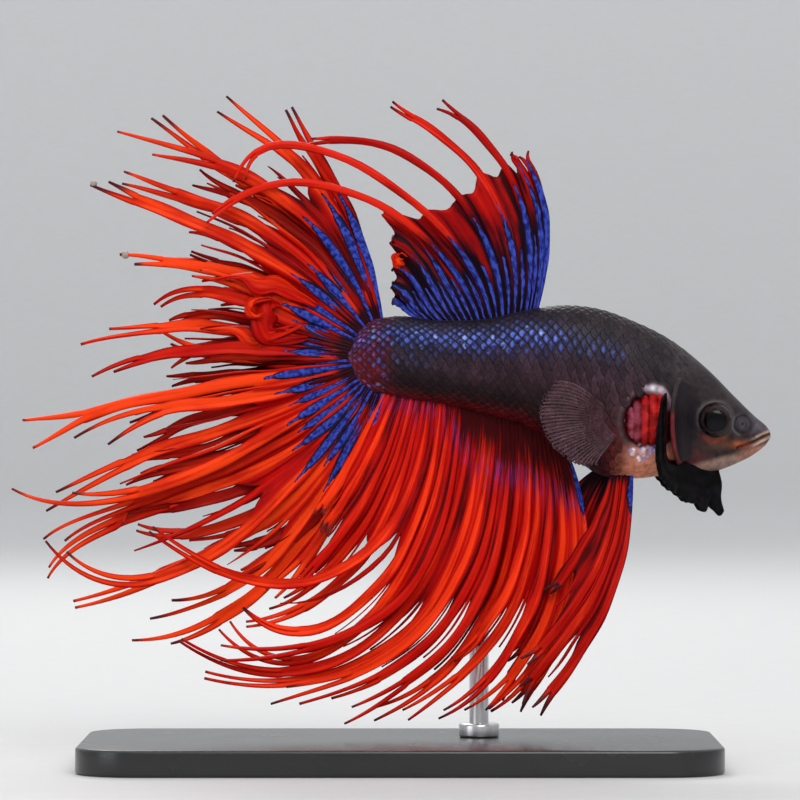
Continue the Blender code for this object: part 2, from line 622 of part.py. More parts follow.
for side_name, side in SIDES:
    root_ends = PELVIC_RIGHT_ROOT if side < 0 else PELVIC_LEFT_ROOT
    shift = 0.0 if side < 0 else PELVIC_LEFT_SHIFT
    rays = [ray._replace(tip_x=ray.tip_x + shift) for ray in PELVIC]
    fin(f"pelvic_fin_{side_name}", rays, line_root(root_ends), PELVIC_ROWS, fin_red, pleat=0.1,
        lie=lambda p, side=side: (p[0], side * (PELVIC_SPREAD + p[1]), p[2]))
    base_y = flank(PECTORAL_ROOT[0][0], PECTORAL_ROOT[0][1]) + GAP + FIN_THICKNESS
    fin(f"pectoral_fin_{side_name}", PECTORAL, line_root(PECTORAL_ROOT), PECTORAL_ROWS, fin_mauve,
        pleat=0.1, widest=0.4,
        lie=lambda p, side=side, base_y=base_y: (p[0], side * (base_y + p[1]), p[2]))

# ---------------------------------------------------------------- stand


def rounded_plate(name, size, corner, material):
    bm = bmesh.new()
    bmesh.ops.create_cube(bm, size=1.0)
    bmesh.ops.scale(bm, vec=size, verts=bm.verts)
    bmesh.ops.translate(bm, vec=(0.0, 0.0, size[2] / 2), verts=bm.verts)
    upright = [e for e in bm.edges if abs(e.verts[0].co.z - e.verts[1].co.z) > size[2] / 2]
    bmesh.ops.bevel(bm, geom=upright, offset=corner, segments=10, affect="EDGES", profile=0.5)
    rim = [e for e in bm.edges if min(v.co.z for v in e.verts) > size[2] - 0.01
           and len(e.link_faces) == 2]
    bmesh.ops.bevel(bm, geom=rim, offset=0.5, segments=2, affect="EDGES", profile=0.5)
    return object_from(bm, name, material)


base = rounded_plate("stand_base", STAND_SIZE, STAND_CORNER, stand_black)
foot_hole_path = [(*ROD_FOOT, STAND_SIZE[2] - ROD_SINK - GAP), (*ROD_FOOT, STAND_SIZE[2] + 5.0)]
foot_hole = tube("rod_foot_hole", foot_hole_path, ROD_RADIUS + GAP / 2, collection=CUTTERS)
boolean(base, foot_hole, "DIFFERENCE")
tube("stand_rod", rod_path(), ROD_RADIUS, rod_steel)
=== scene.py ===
import math
from collections import namedtuple

import bmesh
import bpy
import numpy as np
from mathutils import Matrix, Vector
from mathutils.kdtree import KDTree


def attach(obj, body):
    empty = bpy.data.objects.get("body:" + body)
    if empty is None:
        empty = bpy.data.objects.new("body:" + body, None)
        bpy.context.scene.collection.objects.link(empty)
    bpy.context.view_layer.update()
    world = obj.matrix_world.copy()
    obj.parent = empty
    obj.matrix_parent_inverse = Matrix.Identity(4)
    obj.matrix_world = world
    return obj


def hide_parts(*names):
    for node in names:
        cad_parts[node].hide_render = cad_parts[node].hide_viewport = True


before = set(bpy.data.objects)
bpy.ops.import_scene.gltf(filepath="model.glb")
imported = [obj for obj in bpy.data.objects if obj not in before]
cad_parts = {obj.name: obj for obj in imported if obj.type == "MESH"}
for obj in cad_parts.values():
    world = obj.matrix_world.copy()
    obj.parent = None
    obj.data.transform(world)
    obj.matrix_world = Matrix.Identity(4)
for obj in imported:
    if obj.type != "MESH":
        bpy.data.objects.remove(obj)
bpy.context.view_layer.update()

# ---------------------------------------------------------------- tabletop, light and camera
# The model stands on a pale tabletop that curves up into a plain wall all round, as in a light
# tent. Three soft boxes and the pale walls light it, and the camera looks at its right side.

MM = 0.001
TENT_RADIUS = 2.6              # the tent's sizes are in metres
TENT_HEIGHT = 1.8
TENT_CURVE = 0.9
CARD_SHADES = (0.50, 0.84)     # brightness of the card at the floor and up the wall
CAMERA_AWAY = 600.0
CAMERA_HEIGHT = 41.4
VIEW_WIDTH = 90.6
SENSOR = 36.0


def deselect():
    if bpy.context.object and bpy.context.object.mode != "OBJECT":
        bpy.ops.object.mode_set(mode="OBJECT")
    bpy.ops.object.select_all(action="DESELECT")


def feed(tree, socket, given):
    """Puts a link or a plain value into a socket."""
    if isinstance(given, bpy.types.NodeSocket):
        tree.links.new(given, socket)
    else:
        socket.default_value = (*given, 1) if socket.type == "RGBA" else given


def node(tree, kind, inputs=None, **settings):
    """A new shader node with its settings, and a link or a plain value in each input named."""
    made = tree.nodes.new("ShaderNode" + kind)
    for field, value in settings.items():
        setattr(made, field, value)
    for socket, given in (inputs or {}).items():
        feed(tree, made.inputs[socket], given)
    return made


def shader_of(name, **values):
    """A new material and its node tree, with the Principled shader's plain numbers set."""
    material = bpy.data.materials.new(name)
    material.use_nodes = True
    shader = material.node_tree.nodes["Principled BSDF"]
    for socket, value in values.items():
        shader.inputs[socket.replace("_", " ")].default_value = value
    return material, material.node_tree, shader


def reckon(tree, operation, *given):
    """A Math node's result; each input is a link or a plain number."""
    return node(tree, "Math", dict(enumerate(given)), operation=operation).outputs[0]


def ranged(tree, value, start, end, low, high):
    """Spreads a value that runs from start to end over low to high, and no further."""
    return node(tree, "MapRange", {"Value": value, "From Min": start, "From Max": end,
                                   "To Min": low, "To Max": high}).outputs[0]


deselect()
bpy.ops.mesh.primitive_cylinder_add(vertices=96, radius=TENT_RADIUS, depth=TENT_HEIGHT,
                                    end_fill_type="NGON", location=(0, 0, TENT_HEIGHT / 2))
tabletop = bpy.context.object
tabletop.name = "tabletop"
tent = bmesh.new()
tent.from_mesh(tabletop.data)
for face in [f for f in tent.faces if f.normal.z > 0.5]:
    tent.faces.remove(face)
corner = [e for e in tent.edges if max(v.co.z for v in e.verts) < 0.1 - TENT_HEIGHT / 2]
bmesh.ops.bevel(tent, geom=corner, offset=TENT_CURVE, segments=16, affect="EDGES", profile=0.5)
bmesh.ops.reverse_faces(tent, faces=tent.faces)
tent.to_mesh(tabletop.data)
tent.free()
tabletop.data.shade_smooth()
card, tree, shader = shader_of("pale_card", Roughness=0.75)
height = node(tree, "SeparateXYZ", {0: node(tree, "TexCoord").outputs["Object"]}).outputs["Z"]
shade = ranged(tree, height, -TENT_HEIGHT / 2, 0.1, *CARD_SHADES)
fibres = node(tree, "TexNoise", {"Scale": 900.0}).outputs["Fac"]
feed(tree, shader.inputs["Base Color"], reckon(tree, "MULTIPLY_ADD", fibres, 0.03, shade))
tabletop.data.materials.append(card)

LAMPS = [
    # name, place, aimed at, size, watts, colour
    ("key_box", (0.16, -0.62, 0.50), (0.0, 0.0, 0.045), 0.34, 3.2, (1.0, 0.975, 0.94)),
    ("fill_box", (-0.60, -0.40, 0.18), (-0.01, 0.0, 0.04), 0.42, 0.9, (0.93, 0.96, 1.0)),
    ("back_box", (-0.10, 0.55, 0.50), (0.0, 0.0, 0.045), 0.30, 2.0, (1.0, 0.98, 0.95)),
]
for lamp_name, place, aim, size, watts, colour in LAMPS:
    lamp = bpy.data.lights.new(lamp_name, "AREA")
    lamp.size = size
    lamp.energy = watts
    lamp.color = colour
    holder = bpy.data.objects.new(lamp_name, lamp)
    holder.location = place
    holder.rotation_euler = (Vector(aim) - Vector(place)).to_track_quat("-Z", "Y").to_euler()
    bpy.context.scene.collection.objects.link(holder)
sky = bpy.data.worlds.new("tent_glow")
sky.use_nodes = True
glow = sky.node_tree.nodes["Background"]
glow.inputs["Color"].default_value = (0.95, 0.97, 1.0, 1.0)
glow.inputs["Strength"].default_value = 1.15
bpy.context.scene.world = sky
bpy.context.scene.view_settings.view_transform = "Standard"

lens = bpy.data.cameras.new("camera")
lens.sensor_width = SENSOR
lens.lens = SENSOR * CAMERA_AWAY / VIEW_WIDTH
lens.clip_start = 0.01
lens.clip_end = 20.0
camera = bpy.data.objects.new("camera", lens)
camera.location = (0.0, -CAMERA_AWAY * MM, CAMERA_HEIGHT * MM)
camera.rotation_euler = (math.pi / 2, 0.0, 0.0)
bpy.context.scene.collection.objects.link(camera)
bpy.context.scene.camera = camera

# ---------------------------------------------------------------- skin
# The fish's whole skin in one piece: head, lower jaw, trunk, tail stalk and the two flared gill
# covers. It is lofted through the body's sections, the covers are joined on and the whole is
# remeshed so that no seam shows, and then lips, nostrils, eye sockets and folds are pressed in.

COAT = 0.10                    # depth of the scales over the skin
Station = namedtuple("Station", "x back belly half_width")
BODY = [
    Station(-5.7, 46.9, 45.7, 0.35),
    Station(-5.2, 48.3, 44.4, 0.55),
    Station(-3.6, 50.2, 42.6, 0.9),
    Station(-1.2, 50.9, 41.9, 1.35),
    Station(4.5, 50.5, 40.9, 2.2),
    Station(10.0, 50.7, 39.7, 2.9),
    Station(14.5, 51.7, 38.2, 3.5),
    Station(18.5, 52.2, 35.6, 3.9),
    Station(22.5, 51.8, 32.9, 4.1),
    Station(26.5, 50.4, 32.4, 4.1),
    Station(31.0, 48.1, 32.9, 4.0),
    Station(35.0, 44.9, 33.0, 3.6),
    Station(38.0, 41.9, 34.0, 2.8),
    Station(40.5, 39.5, 35.3, 1.75),
    Station(41.7, 38.5, 36.3, 1.0),
    Station(42.2, 37.9, 36.9, 0.45),
]
WIDEST = 0.54                  # the body's widest level, as a share of its height
ROUNDNESS = 0.86
RING_EVENNESS = 0.4
CLOSING = 0.03                 # share of the length over which each end closes
EYE_CENTRE = (35.6, 2.35, 39.1)
HINGE_X = 33.8
COVER_MIDDLE_Z = 39.0
COVER_HALF_HEIGHT = 5.0
COVER_HINGE_SHARE = 0.80       # a cover's height at its hinge, over that at its rim
COVER_LENGTH = 6.2
COVER_ROUNDING = 0.72
COVER_BULGE = 0.5
COVER_SINK = 0.25
COVER_THICK = 0.55
COVER_TURN = (math.radians(20), math.radians(90))
COVER_END = 0.98               # how near a cover's rim comes to its corners
VOXEL = 0.15


def mix(a, b, share):
    return a + (b - a) * share


def ease(share):
    share = np.clip(share, 0.0, 1.0)
    return share * share * (3.0 - 2.0 * share)


def bell(distance, width):
    return np.exp(-(distance / width) ** 2)


def smooth_run(points, places):
    """Values of a smooth curve through rows of points, the first column being the place."""
    points = np.array(points, dtype=float)
    at = points[:, 0]
    slopes = np.gradient(points[:, 1:], at, axis=0)
    index = np.clip(np.searchsorted(at, places, side="right") - 1, 0, len(at) - 2)
    span = (at[index + 1] - at[index])[:, None]
    t = ((places - at[index]) / span[:, 0])[:, None]
    low, high = points[index, 1:], points[index + 1, 1:]
    bend_low, bend_high = slopes[index] * span, slopes[index + 1] * span
    return ((2 * t ** 3 - 3 * t ** 2 + 1) * low + (t ** 3 - 2 * t ** 2 + t) * bend_low
            + (3 * t ** 2 - 2 * t ** 3) * high + (t ** 3 - t ** 2) * bend_high)


FINE_X = np.linspace(BODY[0].x, BODY[-1].x, 600)
FINE_BODY = smooth_run(BODY, FINE_X)


def body_at(x):
    """Back, belly and half width of the body at places along it."""
    return tuple(np.interp(x, FINE_X, FINE_BODY[:, column]) for column in range(3))


def sway(x):
    """How far the bent body lies to the left at places along it."""
    return 0.0045 * np.maximum(x - 18.0, 0.0) ** 2 - 0.0011 * np.maximum(-x, 0.0) ** 2


def skin_point(x, turn, lift=-COAT):
    """A point on the body: turn 0 is the back, a quarter turn the right side, a half the belly."""
    back, belly, half = body_at(x)
    level = mix(belly, back, WIDEST)
    across, up = np.sin(turn), np.cos(turn)
    side = half + lift
    reach = np.where(up > 0, back - level, level - belly) + lift
    y = -side * np.sign(across) * np.abs(across) ** ROUNDNESS
    z = level + reach * np.sign(up) * np.abs(up) ** ROUNDNESS
    return np.stack([np.broadcast_to(x, y.shape), y, z], axis=-1)


def flank(x, z):
    """Half the body's width at a height."""
    back, belly, half = body_at(x)
    level = mix(belly, back, WIDEST)
    rise = np.where(z > level, (z - level) / (back - level), (level - z) / (level - belly))
    lift = np.clip(rise, 0.0, 1.0) ** (1.0 / ROUNDNESS)
    return half * np.sqrt(1.0 - lift * lift) ** ROUNDNESS


def cover_point(reach, height):
    """The middle of a flared gill cover: reach 0 at the cheek to 1 at the rim, height -1 to 1."""
    z = COVER_MIDDLE_Z + COVER_HALF_HEIGHT * height * mix(COVER_HINGE_SHARE, 1.0, reach)
    length = COVER_LENGTH * np.sqrt(np.maximum(1.0 - COVER_ROUNDING * height ** 2, 0.0))
    start, end = COVER_TURN
    turned = mix(start, end, reach)
    back = (np.sin(turned) - math.sin(start)) / (end - start)
    out = (math.cos(start) - np.cos(turned)) / (end - start)
    x = HINGE_X - COVER_BULGE * height ** 2 - length * back
    y = flank(HINGE_X, z) - COVER_SINK + length * out
    return np.stack([x, y, z], axis=-1)


def mesh_points(obj):
    """The object's vertices as an array in millimetres."""
    flat = np.empty(len(obj.data.vertices) * 3)
    obj.data.vertices.foreach_get("co", flat)
    return flat.reshape(-1, 3) / MM


def place_points(obj, points):
    obj.data.vertices.foreach_set("co", (np.asarray(points) * MM).ravel())
    obj.data.update()


def select_only(*pieces):
    """Selects these objects and makes the first the active one."""
    deselect()
    for piece in pieces:
        piece.select_set(True)
    bpy.context.view_layer.objects.active = pieces[0]


def apply_modifier(obj, kind, **settings):
    select_only(obj)
    modifier = obj.modifiers.new(kind.lower(), kind)
    for field, value in settings.items():
        setattr(modifier, field, value)
    bpy.ops.object.modifier_apply(modifier=modifier.name)


def faces_out(obj):
    """Turns a closed mesh's faces outwards."""
    select_only(obj)
    bpy.ops.object.mode_set(mode="EDIT")
    bpy.ops.mesh.select_all(action="SELECT")
    bpy.ops.mesh.normals_make_consistent(inside=False)
    bpy.ops.object.mode_set(mode="OBJECT")


def joined(name, pieces):
    select_only(*pieces)
    bpy.ops.object.join()
    pieces[0].name = name
    pieces[0].data.name = name
    return pieces[0]


deselect()
bpy.ops.mesh.primitive_uv_sphere_add(segments=96, ring_count=180, radius=1.0)
skin = bpy.context.object
ball = mesh_points(skin) * MM
polar = np.arccos(np.clip(-ball[:, 2], -1, 1)) / math.pi
turn = np.arctan2(ball[:, 0], ball[:, 1])
along = mix(0.5 - 0.5 * np.cos(math.pi * polar), polar, RING_EVENNESS)
body_x = mix(BODY[0].x, BODY[-1].x, along)
shape = skin_point(body_x, turn)
back, belly, half = body_at(body_x)
centre = np.stack([body_x, 0 * body_x, mix(belly, back, WIDEST)], axis=-1)
closed = np.clip(1 - np.minimum(polar, 1 - polar) / CLOSING, 0, 1)
place_points(skin, centre + (shape - centre) * np.sqrt(1 - closed ** 2)[:, None])

covers = []
for side in (-1, 1):
    deselect()
    bpy.ops.mesh.primitive_grid_add(x_subdivisions=24, y_subdivisions=40, size=2.0)
    cover = bpy.context.object
    flat = mesh_points(cover) * MM
    shape = cover_point((flat[:, 0] + 1) / 2, flat[:, 1] * COVER_END)
    shape[:, 1] *= side
    place_points(cover, shape)
    apply_modifier(cover, "SOLIDIFY", thickness=COVER_THICK * MM, offset=0.0)
    covers.append(cover)
skin = joined("skin", [skin] + covers)
points = mesh_points(skin)
points[:, 1] += sway(points[:, 0])
place_points(skin, points)
faces_out(skin)
skin.data.remesh_voxel_size = VOXEL * MM
bpy.ops.object.voxel_remesh()
apply_modifier(skin, "SMOOTH", factor=0.5, iterations=6)

MOUTH = [(42.6, 37.75), (41.3, 37.25), (40.2, 36.7), (39.2, 36.3), (38.2, 36.0)]
LIP_FOLD = [(40.6, 39.0), (39.95, 38.2), (39.6, 37.4), (38.7, 36.7)]
CHEEK_FOLD = [(33.6, 42.2), (32.6, 40.0), (32.9, 37.4), (34.6, 35.5), (37.2, 35.0)]
SHEEN_LINE = [(28.2, 42.75), (29.5, 42.2), (30.5, 40.6)]
NOSTRIL = (38.75, 38.65)
PIT_CENTRE = (28.3, 39.0)      # the gill chamber
PIT_SIZE = (3.2, 3.4)


def near_line(x, z, line):
    """Distance in side view from each point to a bent line, and the share along it."""
    best = np.full(x.shape, 1e9)
    share = np.zeros(x.shape)
    for order, (start, end) in enumerate(zip(line, line[1:])):
        start, end = np.array(start), np.array(end)
        run = end - start
        t = np.clip(((x - start[0]) * run[0] + (z - start[1]) * run[1]) / run.dot(run), 0, 1)
        gap = np.hypot(x - start[0] - t * run[0], z - start[1] - t * run[1])
        closer = gap < best
        best = np.where(closer, gap, best)
        share = np.where(closer, (order + t) / (len(line) - 1), share)
    return best, share


def away_from(x, z, middle, size=(1.0, 1.0)):
    """Distance in side view from a middle, in sizes."""
    return np.hypot((x - middle[0]) / size[0], (z - middle[1]) / size[1])


def landmarks(x, z):
    """Distances in side view from the eye, the nostril, the gill chamber and the mouth's line."""
    return (away_from(x, z, EYE_CENTRE[::2]), away_from(x, z, NOSTRIL),
            away_from(x, z, PIT_CENTRE, PIT_SIZE), near_line(x, z, MOUTH)[0])


def head_relief(points, normals):
    """How far the skin stands out of the plain loft, for the features of the head."""
    x, y, z = points.T
    own = np.abs(y - sway(x)) < flank(x, z) + 0.8
    eye, nose, pit, lip = landmarks(x, z)
    facing = np.clip(np.abs(normals[:, 1]) * 1.6, 0, 1)
    # the mouth's slit and the lip round it, and the two folds
    relief = -0.34 * bell(lip, 0.17) + 0.17 * bell(lip - 0.42, 0.26)
    relief += -0.13 * bell(near_line(x, z, LIP_FOLD)[0], 0.16)
    relief += -0.08 * bell(near_line(x, z, CHEEK_FOLD)[0], 0.3)
    # the nostril's mound, the groove round it and its hole
    relief += 0.16 * bell(nose, 0.75) - 0.10 * bell(nose - 0.95, 0.16) - 0.3 * bell(nose, 0.16)
    # the eye socket, its raised ring and the groove outside it
    relief += -1.0 * ease((1.93 - eye) / 0.4)
    relief += 0.16 * bell(eye - 2.14, 0.17) - 0.06 * bell(eye - 2.6, 0.25)
    # the open gill chamber
    relief += -0.95 * ease((1.05 - pit) / 0.3)
    return np.where(own, relief, 0.0) * facing


points = mesh_points(skin)
flat = np.empty(points.size)
skin.data.vertex_normals.foreach_get("vector", flat)
normals = flat.reshape(-1, 3)
place_points(skin, points + normals * head_relief(points, normals)[:, None])
skin.data.shade_smooth()

# The markings are worked out from places on the body, so that skin and scales carry the same.
SLATE = (0.034, 0.026, 0.028)
CHARCOAL = (0.020, 0.014, 0.017)
MAUVE = (0.044, 0.021, 0.029)
# near black: the gill covers' own colour, and painted shade in the eye socket, the nostril and under the
# gill covers
BLACK_AND_SHADE = (0.007, 0.004, 0.006)
UMBER = (0.009, 0.0026, 0.0035)
WINE = (0.11, 0.005, 0.007)
PEACH = (0.55, 0.20, 0.12)
THROAT_PINK = (0.50, 0.26, 0.27)
JAW_BEIGE = (0.22, 0.140, 0.110)
OLIVE = (0.055, 0.030, 0.018)
RUST = (0.26, 0.03, 0.02)
EYE_RING = (0.085, 0.070, 0.075)
MOUTH_CORNER = (0.36, 0.085, 0.035)
LIP = (0.42, 0.27, 0.21)
MOUTH_SLIT_SHADE = (0.05, 0.012, 0.012)
SNOUT = (0.068, 0.060, 0.074)
NOSTRIL_BLUE = (0.074, 0.072, 0.090)
NOSTRIL_HIGHLIGHT = (0.115, 0.110, 0.130)
GILL_CHAMBER_SHADE = (0.035, 0.002, 0.002)
PIT_RIM = (0.080, 0.052, 0.050)
PEARL_SHEEN_EDGE = (0.33, 0.24, 0.30)
PEARL = (0.62, 0.52, 0.58)
PEARL_HIGHLIGHT = (0.92, 0.88, 0.93)
COVER_RIM = (0.14, 0.018, 0.020)
THROAT_FLECKS = [(0.80, 0.74, 0.80), (0.40, 0.36, 0.68), (0.75, 0.42, 0.42)]
fleck_chance = np.random.default_rng(41)
throat_spots = [(bright, (fleck_chance.normal(27.4, 0.95), fleck_chance.normal(35.75, 0.55)),
                 fleck_chance.uniform(0.10, 0.21))
                for bright in (THROAT_FLECKS * 12)[:34]]


def layer(colour, over, mask):
    return colour + (np.array(over) - colour) * np.clip(mask, 0, 1)[:, None]


def markings(points):
    """The fish's ground colour at each place, the same on both sides, with painted shade in its hollows and
    painted highlights on the nostril and above the gills.
    """
    x, y, z = points.T
    back, belly, _ = body_at(x)
    height = (z - belly) / (back - belly)
    own = np.abs(y - sway(x)) < flank(x, z) + 0.5
    eye, nose, pit, lip = landmarks(x, z)

    def patch(middle, size):
        return bell(away_from(x, z, middle, size), 1.0)

    throat = ease((x - 23.6) / 2.2) * ease((31.6 - x) / 1.6) * ease((36.9 - z) / 1.6)
    jaw = ease((x - 31.9) / 2.2) * ease((35.9 - z + 0.27 * (x - 38.6)) / 0.7)
    snout = ease((x - 39.2) / 1.2) * ease((z - 37.2 - 0.25 * (x - 39.2)) / 0.5)
    sheen, along = near_line(x, z, SHEEN_LINE)
    sheen = ease((0.95 - 0.35 * along - sheen) / 0.4) * ease((43.25 - z) / 0.3)
    under_eye = bell(eye - 2.35, 0.20) * ease((37.9 - z) / 0.8) * ease((37.4 - x) / 1.2)
    layers = [
        # the body, from the back down
        (SLATE, ease((x - 18) / 14) * ease((height - 0.45) / 0.4)),
        (MAUVE, ease((x + 2) / 12) * bell(height - 0.47, 0.24) * (1 - ease((x - 27) / 4))),
        (UMBER, bell(height - 0.14, 0.22) * ease((22 - x) / 6) * 0.95),
        (WINE, bell(height, 0.10) * ease((19 - x) / 4) * ease((x + 3) / 3)),
        (WINE, ease((0.5 - x) / 3.5) * 0.85),
        # the throat and the jaw
        (PEACH, throat),
        (THROAT_PINK, throat * patch((27.4, 36.1), (2.0, 1.2))),
        (WINE, patch((24.2, 35.6), (1.5, 3.2)) * 0.8),
        (JAW_BEIGE, jaw),
        (PEACH, jaw * ease((x - 37.4) / 2.5) * 0.65),
        (OLIVE, patch((36.3, 36.6), (2.3, 0.95)) * 0.9),
        # round the eye, then the mouth
        (RUST, under_eye * 0.6),
        (EYE_RING, bell(eye - 2.13, 0.14) * ease((z - 37.6) / 1.2) * 0.9),
        # painted shade in the eye socket round the ball
        (BLACK_AND_SHADE, ease((2.0 - eye) / 0.2)),
        (MOUTH_CORNER, patch((38.6, 36.35), (1.2, 0.38)) * 0.9),
        (LIP, bell(lip - 0.34, 0.16) * ease((x - 39.2) / 1.4) * 0.85),
        # painted shade along the mouth's slit, darkening the groove between the lips
        (MOUTH_SLIT_SHADE, bell(lip, 0.11) * 0.9),
        # the snout and the cheek
        (SNOUT, snout * 0.8),
        # painted shade on the flank under the flared gill cover
        (BLACK_AND_SHADE, patch((32.4, 39.3), (1.5, 3.6)) * 0.95),
        (NOSTRIL_BLUE, bell(nose, 0.6) * 0.7),
        # a painted highlight on the nostril's rim, on the side towards the eye
        (NOSTRIL_HIGHLIGHT, bell(nose - 1.2, 0.13) * ease((38.7 - x) / 0.5) * 0.6),
        # painted shade in the nostril's hole and in the groove round it
        (BLACK_AND_SHADE, bell(nose, 0.15) + bell(nose - 0.98, 0.13) * 0.6),
        (RUST, patch((33.4, 34.6), (1.6, 1.2)) * 0.15),
        # the gill chamber: its walls' own dark red, darkened further as painted shade in the hollow
        (GILL_CHAMBER_SHADE, ease((1.03 - pit) / 0.12) * own),
        (PIT_RIM, bell(pit - 1.14, 0.07) * ease((27.4 - x) / 1.2) * ease((z - 35.6) / 1.5) * own),
    ]
    layers += [(bright, ease((size + 0.08 - away_from(x, z, middle)) / 0.12) * throat)
               for bright, middle, size in throat_spots]
    layers += [
        # the pearly spot above the gill opening: its own pale colour with a painted highlight along the
        # opening's upper edge, whitest at its top
        (PEARL_SHEEN_EDGE, sheen * own),
        (PEARL_HIGHLIGHT, bell(away_from(x, z, (28.5, 42.75)), 0.38) * own),
        (PEARL, bell(away_from(x, z, (29.3, 42.45)), 0.4) * own * 0.8),
    ]
    colour = np.tile(np.array(CHARCOAL), (len(x), 1))
    for over, mask in layers:
        colour = layer(colour, over, mask)
    return colour


def cover_marks(points, colour):
    """The gill covers: dark, with a thin red rim that turns grey at the top."""
    rim = KDTree(240)
    for side in (-1, 1):
        for order, height in enumerate(np.linspace(-COVER_END, COVER_END, 120)):
            x, y, z = cover_point(1.0, np.array(height))
            rim.insert(Vector((x, side * y + sway(x), z)), order)
    rim.balance()
    gap = np.array([rim.find(Vector(p))[2] for p in points])
    x, y, z = points.T
    out = np.abs(y - sway(x)) - flank(x, z)
    on_cover = (out > 0.35) & (x > 26) & (x < 34.5)
    ground = layer(np.tile(np.array(CHARCOAL) * 0.9, (len(x), 1)), BLACK_AND_SHADE, bell(z - 38.3, 3.6) * 0.95)
    ground = layer(ground, COVER_RIM, bell(gap, 0.30) * ease((40.8 - z) / 1.5) * 0.9)
    ground = layer(ground, SLATE, bell(gap, 0.6) * ease((z - 41.0) / 1.0) * 0.7)
    return np.where(on_cover[:, None], ground, colour)


def paint_points(obj, name, colours):
    attribute = obj.data.color_attributes.new(name, "FLOAT_COLOR", "POINT")
    rgba = np.concatenate([colours, np.ones((len(colours), 1))], axis=1)
    attribute.data.foreach_set("color", rgba.ravel())


def painted(tree, name):
    """The colours noted on the points."""
    return node(tree, "VertexColor", layer_name=name).outputs["Color"]


def noise(tree, scale, detail=2.0, at=None, **settings):
    """A cloudy pattern on the object's own coordinates, or on the ones given."""
    at = at or node(tree, "TexCoord").outputs["Object"]
    return node(tree, "TexNoise", {"Vector": at, "Scale": scale, "Detail": detail},
                **settings).outputs["Fac"]


def new_group(name, inputs, outputs):
    """An empty shader node group with its named sockets."""
    group = bpy.data.node_groups.new(name, "ShaderNodeTree")
    for direction, sockets in (("INPUT", inputs), ("OUTPUT", outputs)):
        for socket, kind, value in sockets:
            made = group.interface.new_socket(socket, in_out=direction, socket_type="NodeSocket" + kind)
            if value is not None:
                made.default_value = value
    return group, group.nodes.new("NodeGroupInput").outputs, group.nodes.new("NodeGroupOutput").inputs


def mottle_group():
    """Fine and coarse flecks that lighten and darken a ground colour, and a height to match."""
    group, given, put = new_group(
        "mottle",
        [("Color", "Color", (0.5, 0.5, 0.5, 1)), ("Size", "Float", 900.0), ("Amount", "Float", 0.5)],
        [("Color", "Color", None), ("Height", "Float", None)])
    fine = noise(group, given["Size"], 4.0)
    both = reckon(group, "MULTIPLY", fine, noise(group, 260.0))
    spread = ranged(group, both, 0.12, 0.40, -1.0, 1.0)
    gain = reckon(group, "MULTIPLY_ADD", spread, given["Amount"], 1.0)
    shade = node(group, "VectorMath", {0: given["Color"], "Scale": gain}, operation="SCALE")
    feed(group, put["Color"], shade.outputs[0])
    feed(group, put["Height"], fine)
    return group


MOTTLE = mottle_group()


def mottled(tree, colour, size, amount):
    """A mottled colour, and its height."""
    use = node(tree, "Group", node_tree=MOTTLE)
    for socket, given in (("Color", colour), ("Size", size), ("Amount", amount)):
        feed(tree, use.inputs[socket], given)
    return use.outputs["Color"], use.outputs["Height"]


def surface(tree, shader, colour, height, strength, distance):
    """Gives a shader its colour, and a bump from a height; distance is in millimetres."""
    feed(tree, shader.inputs["Base Color"], colour)
    bump = node(tree, "Bump", {"Height": height, "Strength": strength, "Distance": distance * MM})
    feed(tree, shader.inputs["Normal"], bump.outputs[0])


def finish_piece(piece, material, slot, *nodes):
    """Gives a piece its material, hangs it under the root body and hides the CAD parts that it stands in
    for.
    """
    piece.data.materials.append(material)
    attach(piece, "root")
    if nodes:
        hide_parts(*nodes)


points = mesh_points(skin)
paint_points(skin, "marks", cover_marks(points, markings(points)))
skin_paint, tree, shader = shader_of("fish_skin", Roughness=0.42, IOR=1.38, Specular_IOR_Level=0.14,
                                     Subsurface_Weight=0.06, Subsurface_Scale=0.0005)
surface(tree, shader, *mottled(tree, painted(tree, "marks"), 1600.0, 0.45), 0.35, 0.08)
finish_piece(skin, skin_paint, "slate_skin", "head", "lower_jaw", "trunk", "tail_stalk",
             "gill_cover_left", "gill_cover_right")

# ---------------------------------------------------------------- scales
# Thin overlapping scales of clear horn with colour cells under them, rooted in the skin and free
# at the hind edge. One scale is modelled, then laid in staggered rows that bend with the body.

SIDES = (("right", -1), ("left", 1))
SCALE_PITCH = 0.54             # from one column of scales to the next along the body
SCALE_ROWS = 13                # rows on one side, from the back to the belly
SCALE_FIRST, SCALE_LAST = -5.4, 33.0
SCALE_LENGTH = 0.72
SCALE_THICK = 0.06
SCALE_START = (25.0, 37.6)     # no scales on the throat, forward of this and below it
# the pearly spot carries a painted highlight along the gill opening's upper edge
SHEEN_SPOT = (29.1, 42.0)      # nor on the pearly spot above the gills
SHEEN_RADIUS = 1.9
NAVY = (0.008, 0.010, 0.045)
DEEP_BLUE = (0.016, 0.024, 0.16)
BLUE_FLECK = (0.070, 0.11, 0.40)
PALE_FLECK = (0.15, 0.21, 0.52)
TAIL_FLECKS = [(0.30, 0.09, 0.26), (0.34, 0.26, 0.44), (0.11, 0.19, 0.44), (0.20, 0.12, 0.50)]
POCKET_DARK = (0.004, 0.003, 0.004)

